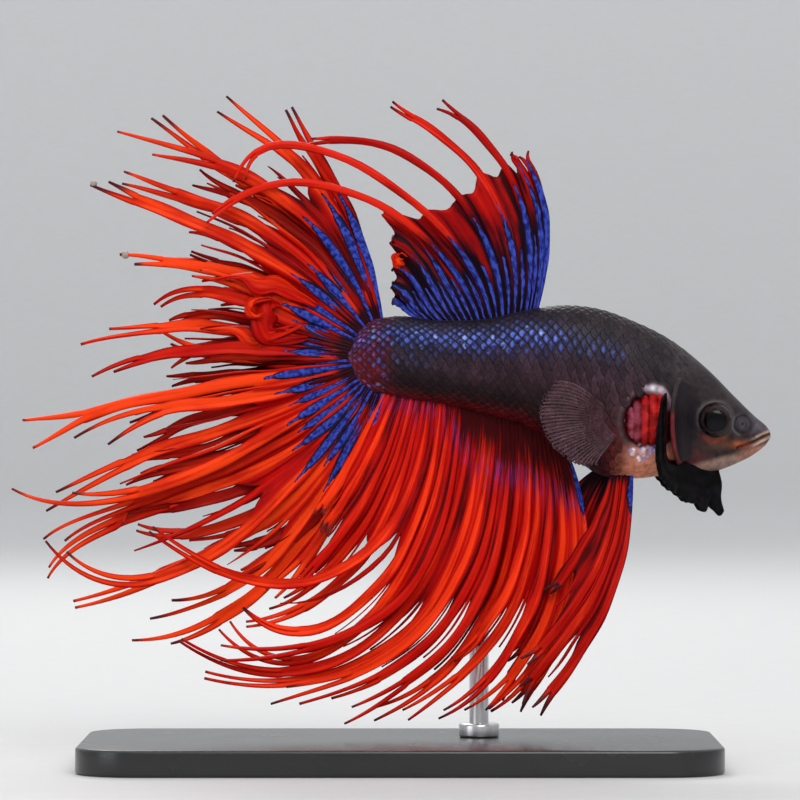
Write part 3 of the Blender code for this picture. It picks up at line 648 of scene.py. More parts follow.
deselect()
bpy.ops.mesh.primitive_circle_add(vertices=12, radius=1.0, fill_type="NGON")
pattern = bpy.context.object
bpy.ops.object.mode_set(mode="EDIT")
bpy.ops.mesh.select_all(action="SELECT")
for inset in (0.16, 0.36):
    bpy.ops.mesh.inset(thickness=inset, depth=0.0)
bpy.ops.object.mode_set(mode="OBJECT")
upper = mesh_points(pattern) * MM
rim_share = np.hypot(upper[:, 0], upper[:, 1])
scale_rim = [int(v) for v in np.flatnonzero(rim_share > 0.99)]
scale_rim.sort(key=lambda v: math.atan2(upper[v, 1], upper[v, 0]))
scale_foot = [len(upper) + k for k in range(len(scale_rim))]
one_scale = np.vstack([upper, upper[scale_rim]])
scale_faces = [list(face.vertices) for face in pattern.data.polygons] + [scale_foot[::-1]]
scale_faces += [[scale_rim[k], scale_rim[k - 1], scale_foot[k - 1], scale_foot[k]]
                for k in range(len(scale_rim))]
scale_under = np.repeat([0.0, 1.0], [len(upper), len(scale_rim)])
scale_edge = np.append(rim_share, np.ones(len(scale_rim)))
scale_hind = 0.5 - 0.5 * one_scale[:, 0]
scale_spot = bell(one_scale[:, 0] + 0.40, 0.36) * bell(one_scale[:, 1], 0.62)
bpy.data.objects.remove(pattern, do_unlink=True)


def new_object(name, points, faces):
    """An object from points in millimetres and faces."""
    mesh = bpy.data.meshes.new(name)
    mesh.from_pydata((points * MM).tolist(), [], faces)
    obj = bpy.data.objects.new(name, mesh)
    bpy.context.scene.collection.objects.link(obj)
    return obj


def fill_map(obj, name, uv):
    """A new UV map with one place for each point."""
    owners = np.empty(len(obj.data.loops), dtype=int)
    obj.data.loops.foreach_get("vertex_index", owners)
    obj.data.uv_layers.new(name=name).data.foreach_set("uv", uv[owners].ravel())


def note_points(obj, name, values):
    attribute = obj.data.attributes.new(name, "FLOAT", "POINT")
    attribute.data.foreach_set("value", np.asarray(values, dtype=float))


def scale_here(x, turn):
    """Whether a scale grows at this place, and how much smaller it is towards the head."""
    spot = skin_point(np.array(x), np.array(turn))
    pit = away_from(x, spot[2], PIT_CENTRE, PIT_SIZE)
    head = max(0.0, (x - 29.0) / 4.0)
    bare = (pit < 1.2 or away_from(x, spot[2], SHEEN_SPOT) < SHEEN_RADIUS
            or (x > SCALE_START[0] and spot[2] < SCALE_START[1])
            or (head > 0 and spot[2] < 42.5 + 2.0 * head))
    if bare:
        return None, 0.0
    return spot, 1.0 - 0.5 * head


def scale_glint(x, share_up, shade):
    """The blue on a scale: a band along the upper flank, one along the middle and the tail."""
    band = bell(share_up - 0.76, 0.17) * mix(0.15, 1.0, ease((22.0 - x) / 9))
    band += 0.5 * bell(share_up - 0.76, 0.07) * ease((27.0 - x) / 3)
    low_band = 0.55 * bell(share_up - 0.5, 0.17) * ease((12.0 - x) / 12)
    root = ease((1.5 - x) / 4.0) * shade.uniform(0.1, 1.0)
    return band, min(float(max(band, low_band, root)), 1.2) * shade.uniform(0.5, 1.0)


def scale_layer(name, side):
    """All scales of one side: each point of the pattern is laid on the skin round its scale."""
    shade = np.random.default_rng(11 if side < 0 else 12)
    count = len(one_scale)
    verts, faces, colours, flecks, glints, places = [], [], [], [], [], []
    for column in range(int((SCALE_LAST - SCALE_FIRST) / SCALE_PITCH)):
        x = SCALE_FIRST + column * SCALE_PITCH
        back, belly, _ = (float(v) for v in body_at(np.array(x)))
        depth = back - belly
        for row in range(SCALE_ROWS):
            place = (row + 0.35 + 0.5 * (column % 2)) / (SCALE_ROWS + 0.4)
            along_jitter, round_jitter = shade.normal(0, 0.025, 2)
            turn = math.pi * (place + 0.05 * round_jitter)
            spot, small = scale_here(x, turn)
            if spot is None or place > 0.97:
                continue
            length = SCALE_LENGTH * mix(0.72, 1.0, min(1.0, (x + 7.5) / 6.0)) * small
            spread = math.pi / (2 * SCALE_ROWS) * small
            # The front edge lies in the skin, the hind edge stands free and the middle is domed.
            lift = mix(-0.06, 0.055, scale_hind) * small + 0.022 * (1 - scale_edge ** 2)
            first = count * len(verts)
            verts.append(skin_point(x + along_jitter + one_scale[:, 0] * length,
                                    turn + one_scale[:, 1] * spread,
                                    -COAT + lift - SCALE_THICK * scale_under))
            faces += [[first + v for v in face] for face in scale_faces]
            ground = markings(np.array([spot]))[0] * shade.uniform(0.72, 1.3)
            band, glint = scale_glint(x, (spot[2] - belly) / depth, shade)
            glints.append(np.full(count, glint))
            ground = mix(ground, np.array(NAVY), 0.6 * min(float(band), 1.0))
            colours.append(np.tile(ground, (count, 1)))
            bright = shade.uniform() < mix(0.14, 0.5, float(ease((0.5 - x) / 3)))
            fleck = TAIL_FLECKS[shade.integers(4)] if x < -0.5 else PALE_FLECK
            flecks.append(np.tile(fleck if bright else BLUE_FLECK, (count, 1)))
            length_share = (x - SCALE_FIRST) / (SCALE_LAST - SCALE_FIRST)
            places.append((0.03 + 0.94 * length_share, 0.03 + 0.94 * place) + 0.0015 * one_scale[:, :2])
    points = np.concatenate(verts)
    points[:, 1] *= -side
    points[:, 1] += sway(points[:, 0])
    obj = new_object(name, points, faces)
    paint_points(obj, "marks", np.concatenate(colours))
    paint_points(obj, "fleck", np.concatenate(flecks))
    note_points(obj, "glint", np.concatenate(glints))
    for note, values in (("edge", scale_edge), ("hind", scale_hind), ("spot", scale_spot)):
        note_points(obj, note, np.tile(values, len(verts)))
    faces_out(obj)
    obj.data.shade_smooth()
    fill_map(obj, "OFBake", np.concatenate(places))
    return obj


def noted(tree, name):
    """The numbers noted on the points."""
    return node(tree, "Attribute", attribute_name=name).outputs["Fac"]


def step_mask(tree, value, low, high):
    """0 below one value, 1 above another, with a soft run between."""
    return node(tree, "MapRange", {"Value": value, "From Min": low, "From Max": high},
                interpolation_type="SMOOTHSTEP").outputs[0]


def colour_over(tree, under, over, mask):
    """Mixes a colour (a link or plain numbers) over another by a mask."""
    return node(tree, "Mix", {"A": under, "B": over, "Factor": mask},
                data_type="RGBA").outputs["Result"]


scale_paint, tree, shader = shader_of("scales", Roughness=0.40, IOR=1.40, Specular_IOR_Level=0.14)
edge, glint, hind, spot = (noted(tree, name) for name in ("edge", "glint", "hind", "spot"))
ground, height = mottled(tree, painted(tree, "marks"), 2400.0, 0.45)
grains = step_mask(tree, noise(tree, 2100.0, 1.0), 0.30, 0.60)
deep = node(tree, "VectorMath", {0: ground, "Scale": 0.62}, operation="SCALE").outputs[0]
shine = reckon(tree, "MULTIPLY", spot, glint)
shine = reckon(tree, "MULTIPLY", shine, reckon(tree, "MULTIPLY_ADD", grains, 0.35, 0.75))
shine = step_mask(tree, shine, 0.05, 0.85)
pocket = reckon(tree, "MULTIPLY", step_mask(tree, edge, 0.82, 1.0), hind)
colour = colour_over(tree, ground, deep, spot)
colour = colour_over(tree, colour, colour_over(tree, DEEP_BLUE, painted(tree, "fleck"), grains), shine)
colour = colour_over(tree, colour, POCKET_DARK, reckon(tree, "MULTIPLY", pocket, 0.75))
feed(tree, shader.inputs["Metallic"], reckon(tree, "MULTIPLY", shine, 0.45))
surface(tree, shader, colour, height, 0.25, 0.04)
for side_name, side in SIDES:
    finish_piece(scale_layer("scales_" + side_name, side), scale_paint, "mauve_skin")

# ---------------------------------------------------------------- eyes
# Glass eyes, each a dark ball with a sunk brown iris of fine radial strands inside a pale ring,
# and the round black lens that bulges through a fish's pupil, under a thin clear dome.

EYE_SIZE = (1.95, 1.3, 1.95)    # half sizes
IRIS_SHARE = 0.94              # the iris's radius over the eye's
PUPIL_SHARE = 0.70
IRIS_DEPTH = 0.42              # how far the iris lies under the ball's crown
IRIS_DISH = 0.12
LENS_BULGE = 0.30
EYE_OUT = 0.38                 # how far the ball's middle stands out of its place in the skin
DOME_CUT = 0.42                # where the dome is cut from a ball, and where it then sits
DOME_SEAT = 0.44
DOME_RISE = 0.685
IRIS_BROWNS = (0.010, 0.006, 0.008), (0.052, 0.026, 0.024)
IRIS_RING = (0.060, 0.046, 0.048)
PUPIL_BLACK = (0.001, 0.001, 0.0015)
GLASS = (0.96, 0.97, 0.98), (0.90, 0.93, 0.95)

iris_paint, tree, shader = shader_of("iris", Roughness=0.13, Specular_IOR_Level=0.16)
away = noted(tree, "away")
spokes = node(tree, "CombineXYZ", {"X": reckon(tree, "MULTIPLY", noted(tree, "round"), 26.0),
                                   "Y": reckon(tree, "MULTIPLY", away, 2.5)})
strands = noise(tree, 1.6, 4.0, spokes.outputs[0])
brown = colour_over(tree, *IRIS_BROWNS, step_mask(tree, strands, 0.35, 0.7))
brown = colour_over(tree, brown, IRIS_RING, step_mask(tree, away, 0.90, 0.96))
ground = colour_over(tree, PUPIL_BLACK, brown, step_mask(tree, away, 0.62, 0.72))
surface(tree, shader, ground, reckon(tree, "MULTIPLY", strands, step_mask(tree, away, 0.70, 0.76)),
        0.3, 0.03)

cornea_paint, tree, shader = shader_of("cornea", Roughness=0.02, IOR=1.02, Transmission_Weight=1.0)
feed(tree, shader.inputs["Base Color"], colour_over(tree, *GLASS, noise(tree, 500.0)))


def eye_ball(name):
    """A ball of radius 1 with its poles out to the sides."""
    deselect()
    bpy.ops.mesh.primitive_uv_sphere_add(segments=64, ring_count=48, radius=1.0,
                                         rotation=(math.pi / 2, 0, 0))
    bpy.ops.object.transform_apply(location=False, rotation=True, scale=False)
    bpy.context.object.name = name
    return bpy.context.object


for side_name, side in SIDES:
    eye = eye_ball("eyeball_" + side_name)
    ball = mesh_points(eye) * MM
    away = np.hypot(ball[:, 0], ball[:, 2])
    front = ball[:, 1] * side > 0
    level = np.abs(ball[:, 1])
    iris_level = mix(math.sqrt(1 - IRIS_SHARE ** 2), 1.0, 1 - IRIS_DEPTH)
    lens = LENS_BULGE * np.sqrt(np.maximum(1 - (away / PUPIL_SHARE) ** 2, 0.0))
    sunk = iris_level * (1 - IRIS_DISH + IRIS_DISH * (away / IRIS_SHARE) ** 2) + lens
    inside = front & (away < IRIS_SHARE)
    ball[:, 1] = side * np.where(inside, np.minimum(level, sunk), np.where(front, level, -level))
    size = np.array(EYE_SIZE)
    centre = np.array([EYE_CENTRE[0], side * (EYE_CENTRE[1] + EYE_OUT) + sway(EYE_CENTRE[0]),
                       EYE_CENTRE[2]])
    place_points(eye, centre + ball * size)
    note_points(eye, "away", np.where(front, away, 1.0))
    note_points(eye, "round", np.abs(np.arctan2(ball[:, 2], ball[:, 0])))
    faces_out(eye)
    eye.data.shade_smooth()
    finish_piece(eye, iris_paint, "eye_black", "eye_" + side_name)

    dome = eye_ball("cornea_" + side_name)
    bpy.ops.object.mode_set(mode="EDIT")
    bpy.ops.mesh.select_all(action="SELECT")
    bpy.ops.mesh.bisect(plane_co=(0, side * DOME_CUT, 0), plane_no=(0, side, 0), clear_inner=True,
                        use_fill=True)
    bpy.ops.object.mode_set(mode="OBJECT")
    cap = mesh_points(dome) * MM
    rise = np.clip((np.abs(cap[:, 1]) - DOME_CUT) / (1 - DOME_CUT), 0, 1)
    cap[:, 1] = side * (DOME_SEAT + rise * DOME_RISE)
    place_points(dome, centre + cap * size)
    faces_out(dome)
    dome.data.shade_smooth()
    finish_piece(dome, cornea_paint, "eye_black")

# ---------------------------------------------------------------- gills
# The red gills in the open gill chamber: five arches on each side, each a comb of thin soft
# leaves full of blood, cast in clear red resin. The two hindmost arches are violet.

ARCHES = [(29.3, 3.5), (28.4, 3.5), (27.5, 3.4), (26.6, 3.1), (25.9, 2.4)]   # place and height
TALLEST_ARCH = 3.5
CHAMBER_MIDDLE_Z = 39.2
CHAMBER_HALF = 2.85
LEAVES = 54
LEAF = (0.70, 0.55, 0.066)     # half sizes: back, out, up
LEAF_BEND = 0.10
GILL_SINK = 0.62               # how far the combs lie under the flank

deselect()
bpy.ops.mesh.primitive_uv_sphere_add(segments=10, ring_count=6, radius=1.0)
leaf_pattern = bpy.context.object
leaf = mesh_points(leaf_pattern) * MM * LEAF
leaf[:, 2] += LEAF_BEND * (leaf[:, 0] / LEAF[0]) ** 2
leaf_faces = [list(face.vertices) for face in leaf_pattern.data.polygons]
bpy.data.objects.remove(leaf_pattern, do_unlink=True)


def gill_arch(side, order):
    """One comb of leaves down an arch, fullest in the middle."""
    chance = np.random.default_rng(31 + order)
    x, height = ARCHES[order]
    leaves = []
    for step in np.linspace(-1, 1, LEAVES):
        full = math.sqrt(max(1 - step ** 2, 0.02))
        size = mix(0.45, 1.0, full) * chance.uniform(0.92, 1.08)
        z = CHAMBER_MIDDLE_Z + CHAMBER_HALF * step
        out = float(flank(np.array(x), np.array(z))) - GILL_SINK + 0.30 * full - 0.13 * order
        z = (CHAMBER_MIDDLE_Z - 0.5 * (TALLEST_ARCH - height)
             + CHAMBER_HALF * step * height / TALLEST_ARCH)
        leaves.append(leaf * size + (x + 0.25 * full + chance.uniform(-0.03, 0.03), out, z))
    points = np.concatenate(leaves)
    points[:, 1] = side * points[:, 1] + sway(points[:, 0])
    faces = [[first * len(leaf) + v for v in face] for first in range(LEAVES) for face in leaf_faces]
    return new_object("gill_arch", points, faces)


def gill_paint(name, deep, bright):
    material, tree, shader = shader_of(name, Roughness=0.16, IOR=1.40, Specular_IOR_Level=0.6,
                                       Subsurface_Weight=0.25, Subsurface_Scale=0.0006)
    clouds = noise(tree, 900.0, 3.0)
    colour = colour_over(tree, deep, bright, step_mask(tree, clouds, 0.35, 0.65))
    surface(tree, shader, colour, clouds, 0.3, 0.04)
    return material


BLOOD = gill_paint("gill_blood", (0.42, 0.004, 0.005), (0.92, 0.030, 0.030))
VIOLET_BLOOD = gill_paint("gill_violet", (0.22, 0.008, 0.018), (0.48, 0.080, 0.140))
for side_name, side in SIDES:
    for name, orders, blood, nodes in (("gill_combs_", (0, 1, 2), BLOOD, ["gills_" + side_name]),
                                       ("gill_hind_", (3, 4), VIOLET_BLOOD, [])):
        combs = joined(name + side_name, [gill_arch(side, order) for order in orders])
        faces_out(combs)
        combs.data.shade_smooth()
        finish_piece(combs, blood, "gill_red", *nodes)

# ---------------------------------------------------------------- beard
# The dark membrane that the betta spreads under its gill covers when it flares: thin black skin
# over curved bones, folded lengthwise, red along its front edge and ragged at its hem.

BEARD_ROOT = [(29.8, 7.3, 42.2), (29.8, 7.6, 38.6), (29.9, 6.3, 35.1), (31.4, 3.5, 34.6),
              (33.6, 1.9, 33.9), (36.2, 0.45, 33.6)]
BEARD_HEM = [(29.3, 8.3, 41.6), (28.7, 8.9, 37.4), (28.9, 8.0, 33.4), (30.7, 5.9, 31.1),
             (33.7, 2.9, 29.3), (36.6, 0.45, 28.7)]
BEARD_GRID = (22, 90)
BEARD_THICK = 0.24
BEARD_INNER = 0.25             # how near it comes to the middle plane
BEARD_BLACKS = (0.0015, 0.0015, 0.0018), (0.007, 0.005, 0.007)
BEARD_RED = (0.13, 0.006, 0.006)

beard_paint, tree, shader = shader_of("beard_skin", Roughness=0.45, IOR=1.38, Specular_IOR_Level=0.06)
clouds = noise(tree, 1100.0, 4.0)
colour = colour_over(tree, *BEARD_BLACKS, step_mask(tree, clouds, 0.4, 0.75))
colour = colour_over(tree, colour, BEARD_RED, step_mask(tree, noted(tree, "down"), 0.10, 0.02))
surface(tree, shader, colour, clouds, 0.4, 0.08)

for side_name, side in SIDES:
    deselect()
    bpy.ops.mesh.primitive_grid_add(x_subdivisions=BEARD_GRID[0], y_subdivisions=BEARD_GRID[1], size=2.0)
    beard = bpy.context.object
    flat = mesh_points(beard) * MM
    down, run = (flat[:, 0] + 1) / 2, (flat[:, 1] + 1) / 2
    knots = np.linspace(0, 1, len(BEARD_ROOT))
    root_line = smooth_run(np.column_stack([knots, BEARD_ROOT]), run)
    hem_line = smooth_run(np.column_stack([knots, BEARD_HEM]), run)
    rag = 1.0 + (0.02 + 0.07 * ease((run - 0.66) / 0.2)) * np.sin(run * 47) + 0.02 * np.sin(run * 117 + 1.0)
    reach = down * np.where(down > 0.5, mix(1.0, rag, (down - 0.5) * 2), 1.0)
    shape = root_line + (hem_line - root_line) * reach[:, None]
    pleat = 0.26 * np.sin(down * 3.6 * math.pi + 0.6 * np.sin(run * 9)) * ease(down * 4) * ease(run * 4)
    shape[:, 1] += pleat * np.where(run > 0.9, 0.4, 1.0)
    shape[:, 0] += 0.12 * np.sin(down * 9 + run * 30) * ease((run - 0.8) / 0.2)
    shape[:, 1] = side * np.maximum(shape[:, 1], BEARD_INNER)
    shape[:, 1] += sway(shape[:, 0])
    place_points(beard, shape)
    note_points(beard, "down", down + 0.2 * ease((run - 0.6) / 0.15))
    apply_modifier(beard, "SOLIDIFY", thickness=BEARD_THICK * MM, offset=0.0)
    faces_out(beard)
    beard.name = "beard_membrane_" + side_name
    beard.data.shade_smooth()
    finish_piece(beard, beard_paint, "black_web", "beard_" + side_name)

# ---------------------------------------------------------------- tail fin
# A crowntail's tail fin: bony rays of two branches each, joined by thin skin near the body and
# running free beyond it as forked ribbons. Each ray follows its own curve out of the tail's root,
# the skin between is folded like a fan, and the sheet is thick on the rays and thin between.

# For each ray: its place on the fin's root and its heading there, its tip with its heading, the
# shares of its length to the web's edge and to its fork, the fork's spread, the tip's lean out of
# the fin's plane, the length of its blue streak, and how long it holds its first and last headings.
Ray = namedtuple("Ray", "place heading tip_x tip_z tip_heading web fork spread lean blue arm tip_arm",
                 defaults=(0.0, 0.42, 0.36))
CAUDAL = [
    Ray(97, 100, -12.7, 74.4, 120, 0.55, 0.80, 1.4, 0.5, 13.5),
    Ray(105, 105, -20.2, 74.8, 149, 0.55, 0.72, 1.8, -0.5, 14.5),
    Ray(113, 112, -32.0, 70.8, 172, 0.50, 0.68, 1.5, -0.9, 13.0),
    Ray(121, 119, -27.9, 73.8, 141, 0.50, 0.78, 1.6, 1.3, 9.0, 0.42, 0.30),
    Ray(129, 127, -31.4, 66.0, 171, 0.48, 0.80, 1.3, 0.3, 8.0),
    Ray(137, 136, -34.6, 66.5, 153, 0.45, 0.84, 3.2, -1.1, 9.0),
    Ray(146, 145, -31.8, 57.2, 181, 0.40, 0.82, 1.8, 0.9, 7.5),
    Ray(154, 153, -23.3, 56.0, 165, 0.45, 0.75, 0.9, -0.5, 8.0),
    Ray(162, 160, -27.6, 51.9, 214, 0.38, 0.75, 1.2, -1.4, 6.0),
    Ray(170, 169, -36.2, 48.1, 196, 0.32, 0.70, 2.2, 0.5, 7.5),
    Ray(178, 177, -34.3, 43.4, 212, 0.32, 0.80, 1.4, -1.2, 6.5),
    Ray(185, 183, -28.3, 48.7, 162, 0.36, 0.75, 0.8, 1.2, 6.5),
    Ray(192, 188, -42.0, 37.6, 198, 0.30, 0.82, 3.9, 0.6, 9.0),
    Ray(200, 203, -35.6, 36.0, 225, 0.36, 0.68, 5.6, -1.3, 8.0, 0.42, 0.30),
    Ray(208, 207, -40.4, 29.3, 214, 0.38, 0.72, 1.6, 1.0, 7.0),
    Ray(216, 213, -43.6, 31.7, 154, 0.29, 0.65, 0.9, -0.2, 8.0, 0.42, 0.30),
    Ray(223, 224, -39.4, 24.9, 228, 0.40, 0.72, 1.4, 0.7, 8.0, 0.42, 0.20),
    Ray(230, 232, -39.9, 21.2, 246, 0.42, 0.75, 0.9, 1.9, 9.5, 0.42, 0.26),
    Ray(237, 235, -39.5, 25.9, 130, 0.42, 0.70, 0.9, -1.2, 12.0, 0.42, 0.44),
    Ray(244, 243, -36.8, 18.0, 200, 0.48, 0.75, 1.6, 0.7, 9.0),
    Ray(250, 246, -28.3, 17.6, 178, 0.52, 0.75, 1.3, 1.3, 11.5, 0.42, 0.32),
    Ray(256, 251, -30.3, 13.3, 188, 0.52, 0.75, 1.0, 2.2, 9.0, 0.40),
    Ray(262, 257, -14.6, 19.4, 226, 0.62, 0.80, 1.6, 0.9, 13.0),
]
CAUDAL_CENTRE = (-1.6, 46.3)
CAUDAL_RADII = (4.5, 5.0)
ROOT_DEPTH = 1.0               # how far a ray runs on inside the body
ROOT_HALF_WIDTH = 0.10
WEB_ROWS, WHOLE_ROWS, TIP_ROWS = 26, 14, 16
SECOND_ROWS = 10
# Places across a ray, a branch and the skin between rays, and how far the bone fills each.
RIB = np.array([1.0, 0.7, 0.35, 0.0, -0.35, -0.7, -1.0])
RIB_BONE = np.array([0.10, 0.8, 0.9, 0.6, 0.9, 0.8, 0.10])
BRANCH = np.array([1.0, 0.4, -0.4, -1.0])
BRANCH_BONE = np.array([0.25, 1.0, 1.0, 0.25])
WEB = np.array([0.18, 0.36, 0.5, 0.64, 0.82])
WEB_BONE = np.array([0.05, 0.3, 0.6, 0.3, 0.05])
WEAK = np.array([-1.0, 0.0, 1.0])
WEAK_BONE = np.array([0.35, 0.9, 0.35])
WEB_THIN = 0.25                # thickness of the skin between rays, over that on a bone
NOTES = ("bone", "streak", "tip", "tone", "out")


def heading(degrees):
    return np.array([math.cos(math.radians(degrees)), math.sin(math.radians(degrees))])


class RayLine:
    """A ray's middle line, which starts inside the body, read by distance from its root."""

    def __init__(self, ray, root):
        start, tip = np.array(root), np.array([ray.tip_x, ray.tip_z])
        chord = np.linalg.norm(tip - start)
        leave, arrive = heading(ray.heading), heading(ray.tip_heading)
        t = np.linspace(0, 1, 97)[:, None]
        line = ((1 - t) ** 3 * start + 3 * (1 - t) ** 2 * t * (start + leave * chord * ray.arm)
                + 3 * (1 - t) * t ** 2 * (tip - arrive * chord * ray.tip_arm) + t ** 3 * tip)
        self.line = np.vstack([start - leave * ROOT_DEPTH, line])
        steps = np.hypot(*np.diff(self.line, axis=0).T)
        self.distance = np.concatenate([[0.0], np.cumsum(steps)]) - ROOT_DEPTH
        self.length = self.distance[-1]
        self.slope = np.gradient(self.line, self.distance, axis=0)

    def at(self, distance):
        """Place and direction at distances along the line."""
        place, slope = (np.stack([np.interp(distance, self.distance, run[:, k]) for k in (0, 1)], -1)
                        for run in (self.line, self.slope))
        return place, slope / np.linalg.norm(slope, axis=-1, keepdims=True)


class Sheet:
    """Collects the points, faces and notes of a fin while its grids are laid side by side."""

    def __init__(self):
        self.points, self.faces, self.count = [], [], 0
        self.notes = {name: [] for name in (*NOTES, "across")}

    def add(self, points, **notes):
        """Adds a rows-by-columns grid of points and returns their numbers."""
        shape = points.shape[:2]
        numbers = self.count + np.arange(shape[0] * shape[1]).reshape(shape)
        self.count += numbers.size
        self.points.append(points.reshape(-1, 3))
        for name, values in notes.items():
            self.notes[name].append(np.broadcast_to(values, shape).ravel())
        return numbers

    def skin_over(self, numbers):
        """Quads between neighbouring rows and columns of point numbers."""
        a, b = numbers[:-1, :-1].ravel(), numbers[:-1, 1:].ravel()
        c, d = numbers[1:, 1:].ravel(), numbers[1:, :-1].ravel()
        self.faces += np.stack([a, b, c, d], axis=-1).tolist()


def streak_at(aside, distance, length, width):
    """Strength of a blue streak: 1 on its middle line, a half at its edge, 0 beyond its border.

    A streak is a third as wide at the root, widest past its middle and pointed at its end.
    """
    if length < 0.5:
        return np.zeros(np.broadcast(aside, distance).shape)
    share = np.clip(distance / length, 0, 1)
    half = width * (0.30 + 0.70 * ease(share / 0.6)) * np.sqrt(1 - ease((share - 0.55) / 0.45)) + 0.02
    return np.where(distance < length + 0.6, np.clip(1 - aside / (2 * half), 0, 1), 0.0)


def ray_ribbon(sheet, ray, order, line, style, chance):
    """One ray: a ribbon that parts into two branches."""
    low = -ROOT_DEPTH / line.length
    shares = np.concatenate([np.linspace(low, ray.web, WEB_ROWS + 1),
                             np.linspace(ray.web, ray.fork, WHOLE_ROWS + 1)[1:]])
    tips = np.linspace(ray.fork, 1.0, TIP_ROWS + 1)[1:]
    twist = chance.uniform(-1, 1) * style["twist"]
    wave = chance.uniform(0, 2 * math.pi)
    cup = style["cup"] * chance.choice((-1, 1)) * chance.uniform(0.5, 1.0)
    tone = chance.uniform(0, 1)
    dark_end = chance.uniform(*style["dark_end"]) if chance.uniform(0, 1) > 0.35 else 0.12
    widest = style["widest"]

    def lay(share, reach, bow, bend=0.0, drift=0.0):
        """Points at shares of the ray's length, reaching to each side of its middle line."""
        place, slope = line.at(share * line.length)
        aside = np.stack([slope[:, 1], -slope[:, 0]], -1)
        free = np.clip((share - ray.web) / (1 - ray.web), 0, 1)
        turn = (twist * ease(free * 1.2) * np.sin(3.2 * free + wave))[:, None]
        # The ray leans out of the fin's plane by its own lean, the fan's pleats and a slow wave.
        lean = ray.lean * ease((share - 0.08) / 0.5)
        lean = lean + style["pleat"] * math.sin(2.4 * order) * ease(share / ray.web)
        lean = lean + style["wave"] * free * np.sin(wave + 7.0 * share) + drift
        wander = style["wander"] * free * np.sin(wave * 1.7 + 11.0 * share)
        depth = bow * cup * mix(0.35, 1.0, ease(share / ray.web))[:, None]
        flat = reach * np.cos(turn) - depth * np.sin(turn) + np.reshape(bend, (-1, 1)) + wander[:, None]
        x = place[:, :1] + aside[:, :1] * flat
        z = place[:, 1:] + aside[:, 1:] * flat
        y = lean[:, None] + reach * np.sin(turn) + depth * np.cos(turn)
        return np.stack([x, y, z], -1)

    half = mix(ROOT_HALF_WIDTH, widest, np.clip(shares / ray.web, 0, 1))
    ragged = 1.0 + style["ragged"] * np.sin(shares[:, None] * 23 + wave + RIB * 2) * (np.abs(RIB) > 0.9)
    reach = half[:, None] * RIB * ragged
    body = lay(shares, reach, 1 - RIB ** 2)
    distance = shares[:, None] * line.length
    numbers = sheet.add(body, bone=RIB_BONE, tip=0.0, tone=tone, out=distance, across=order + 0.14 * RIB,
                        streak=streak_at(np.abs(reach), distance, ray.blue, style["streak"]))
    sheet.skin_over(numbers)
    run = (tips - ray.fork) / (1 - ray.fork)
    short_hand = chance.choice((-1, 1)) * (chance.uniform(0, 1) > 0.3)
    whole_tips, spread = tips, ray.spread * chance.uniform(0.5, 1.5)
    for hand in (1, -1):
        tips = mix(ray.fork, whole_tips, chance.uniform(0.5, 0.95) if hand == short_hand else 1.0)
        centre = mix(0.5 * widest, max(spread / 2, 0.62 * widest), run ** 1.3) * hand
        width = mix(0.5 * widest, style["tip_width"], run ** 1.6)
        out = tips[:, None] * line.length
        branch = lay(tips, centre[:, None] + width[:, None] * BRANCH, 0.6 * (1 - BRANCH ** 2),
                     chance.uniform(-0.5, 0.5) * run ** 2, chance.uniform(-0.8, 0.8) * run ** 2)
        branch_numbers = sheet.add(branch, bone=BRANCH_BONE, streak=0.0, tone=tone + 0.1 * hand, out=out,
                                   tip=ease((out - out[-1] + dark_end) / (0.7 * dark_end)),
                                   across=order + 0.07 * hand + 0.04 * BRANCH)
        start = numbers[-1:, :4] if hand > 0 else numbers[-1:, 3:]
        sheet.skin_over(np.vstack([start, branch_numbers]))
    return ray, line, body, numbers, tone


def at_rows(edge, rows):
    """Points between the rows of an edge."""
    index = np.clip(rows.astype(int), 0, len(edge) - 2)
    return edge[index] + (edge[index + 1] - edge[index]) * (rows - index)[..., None]


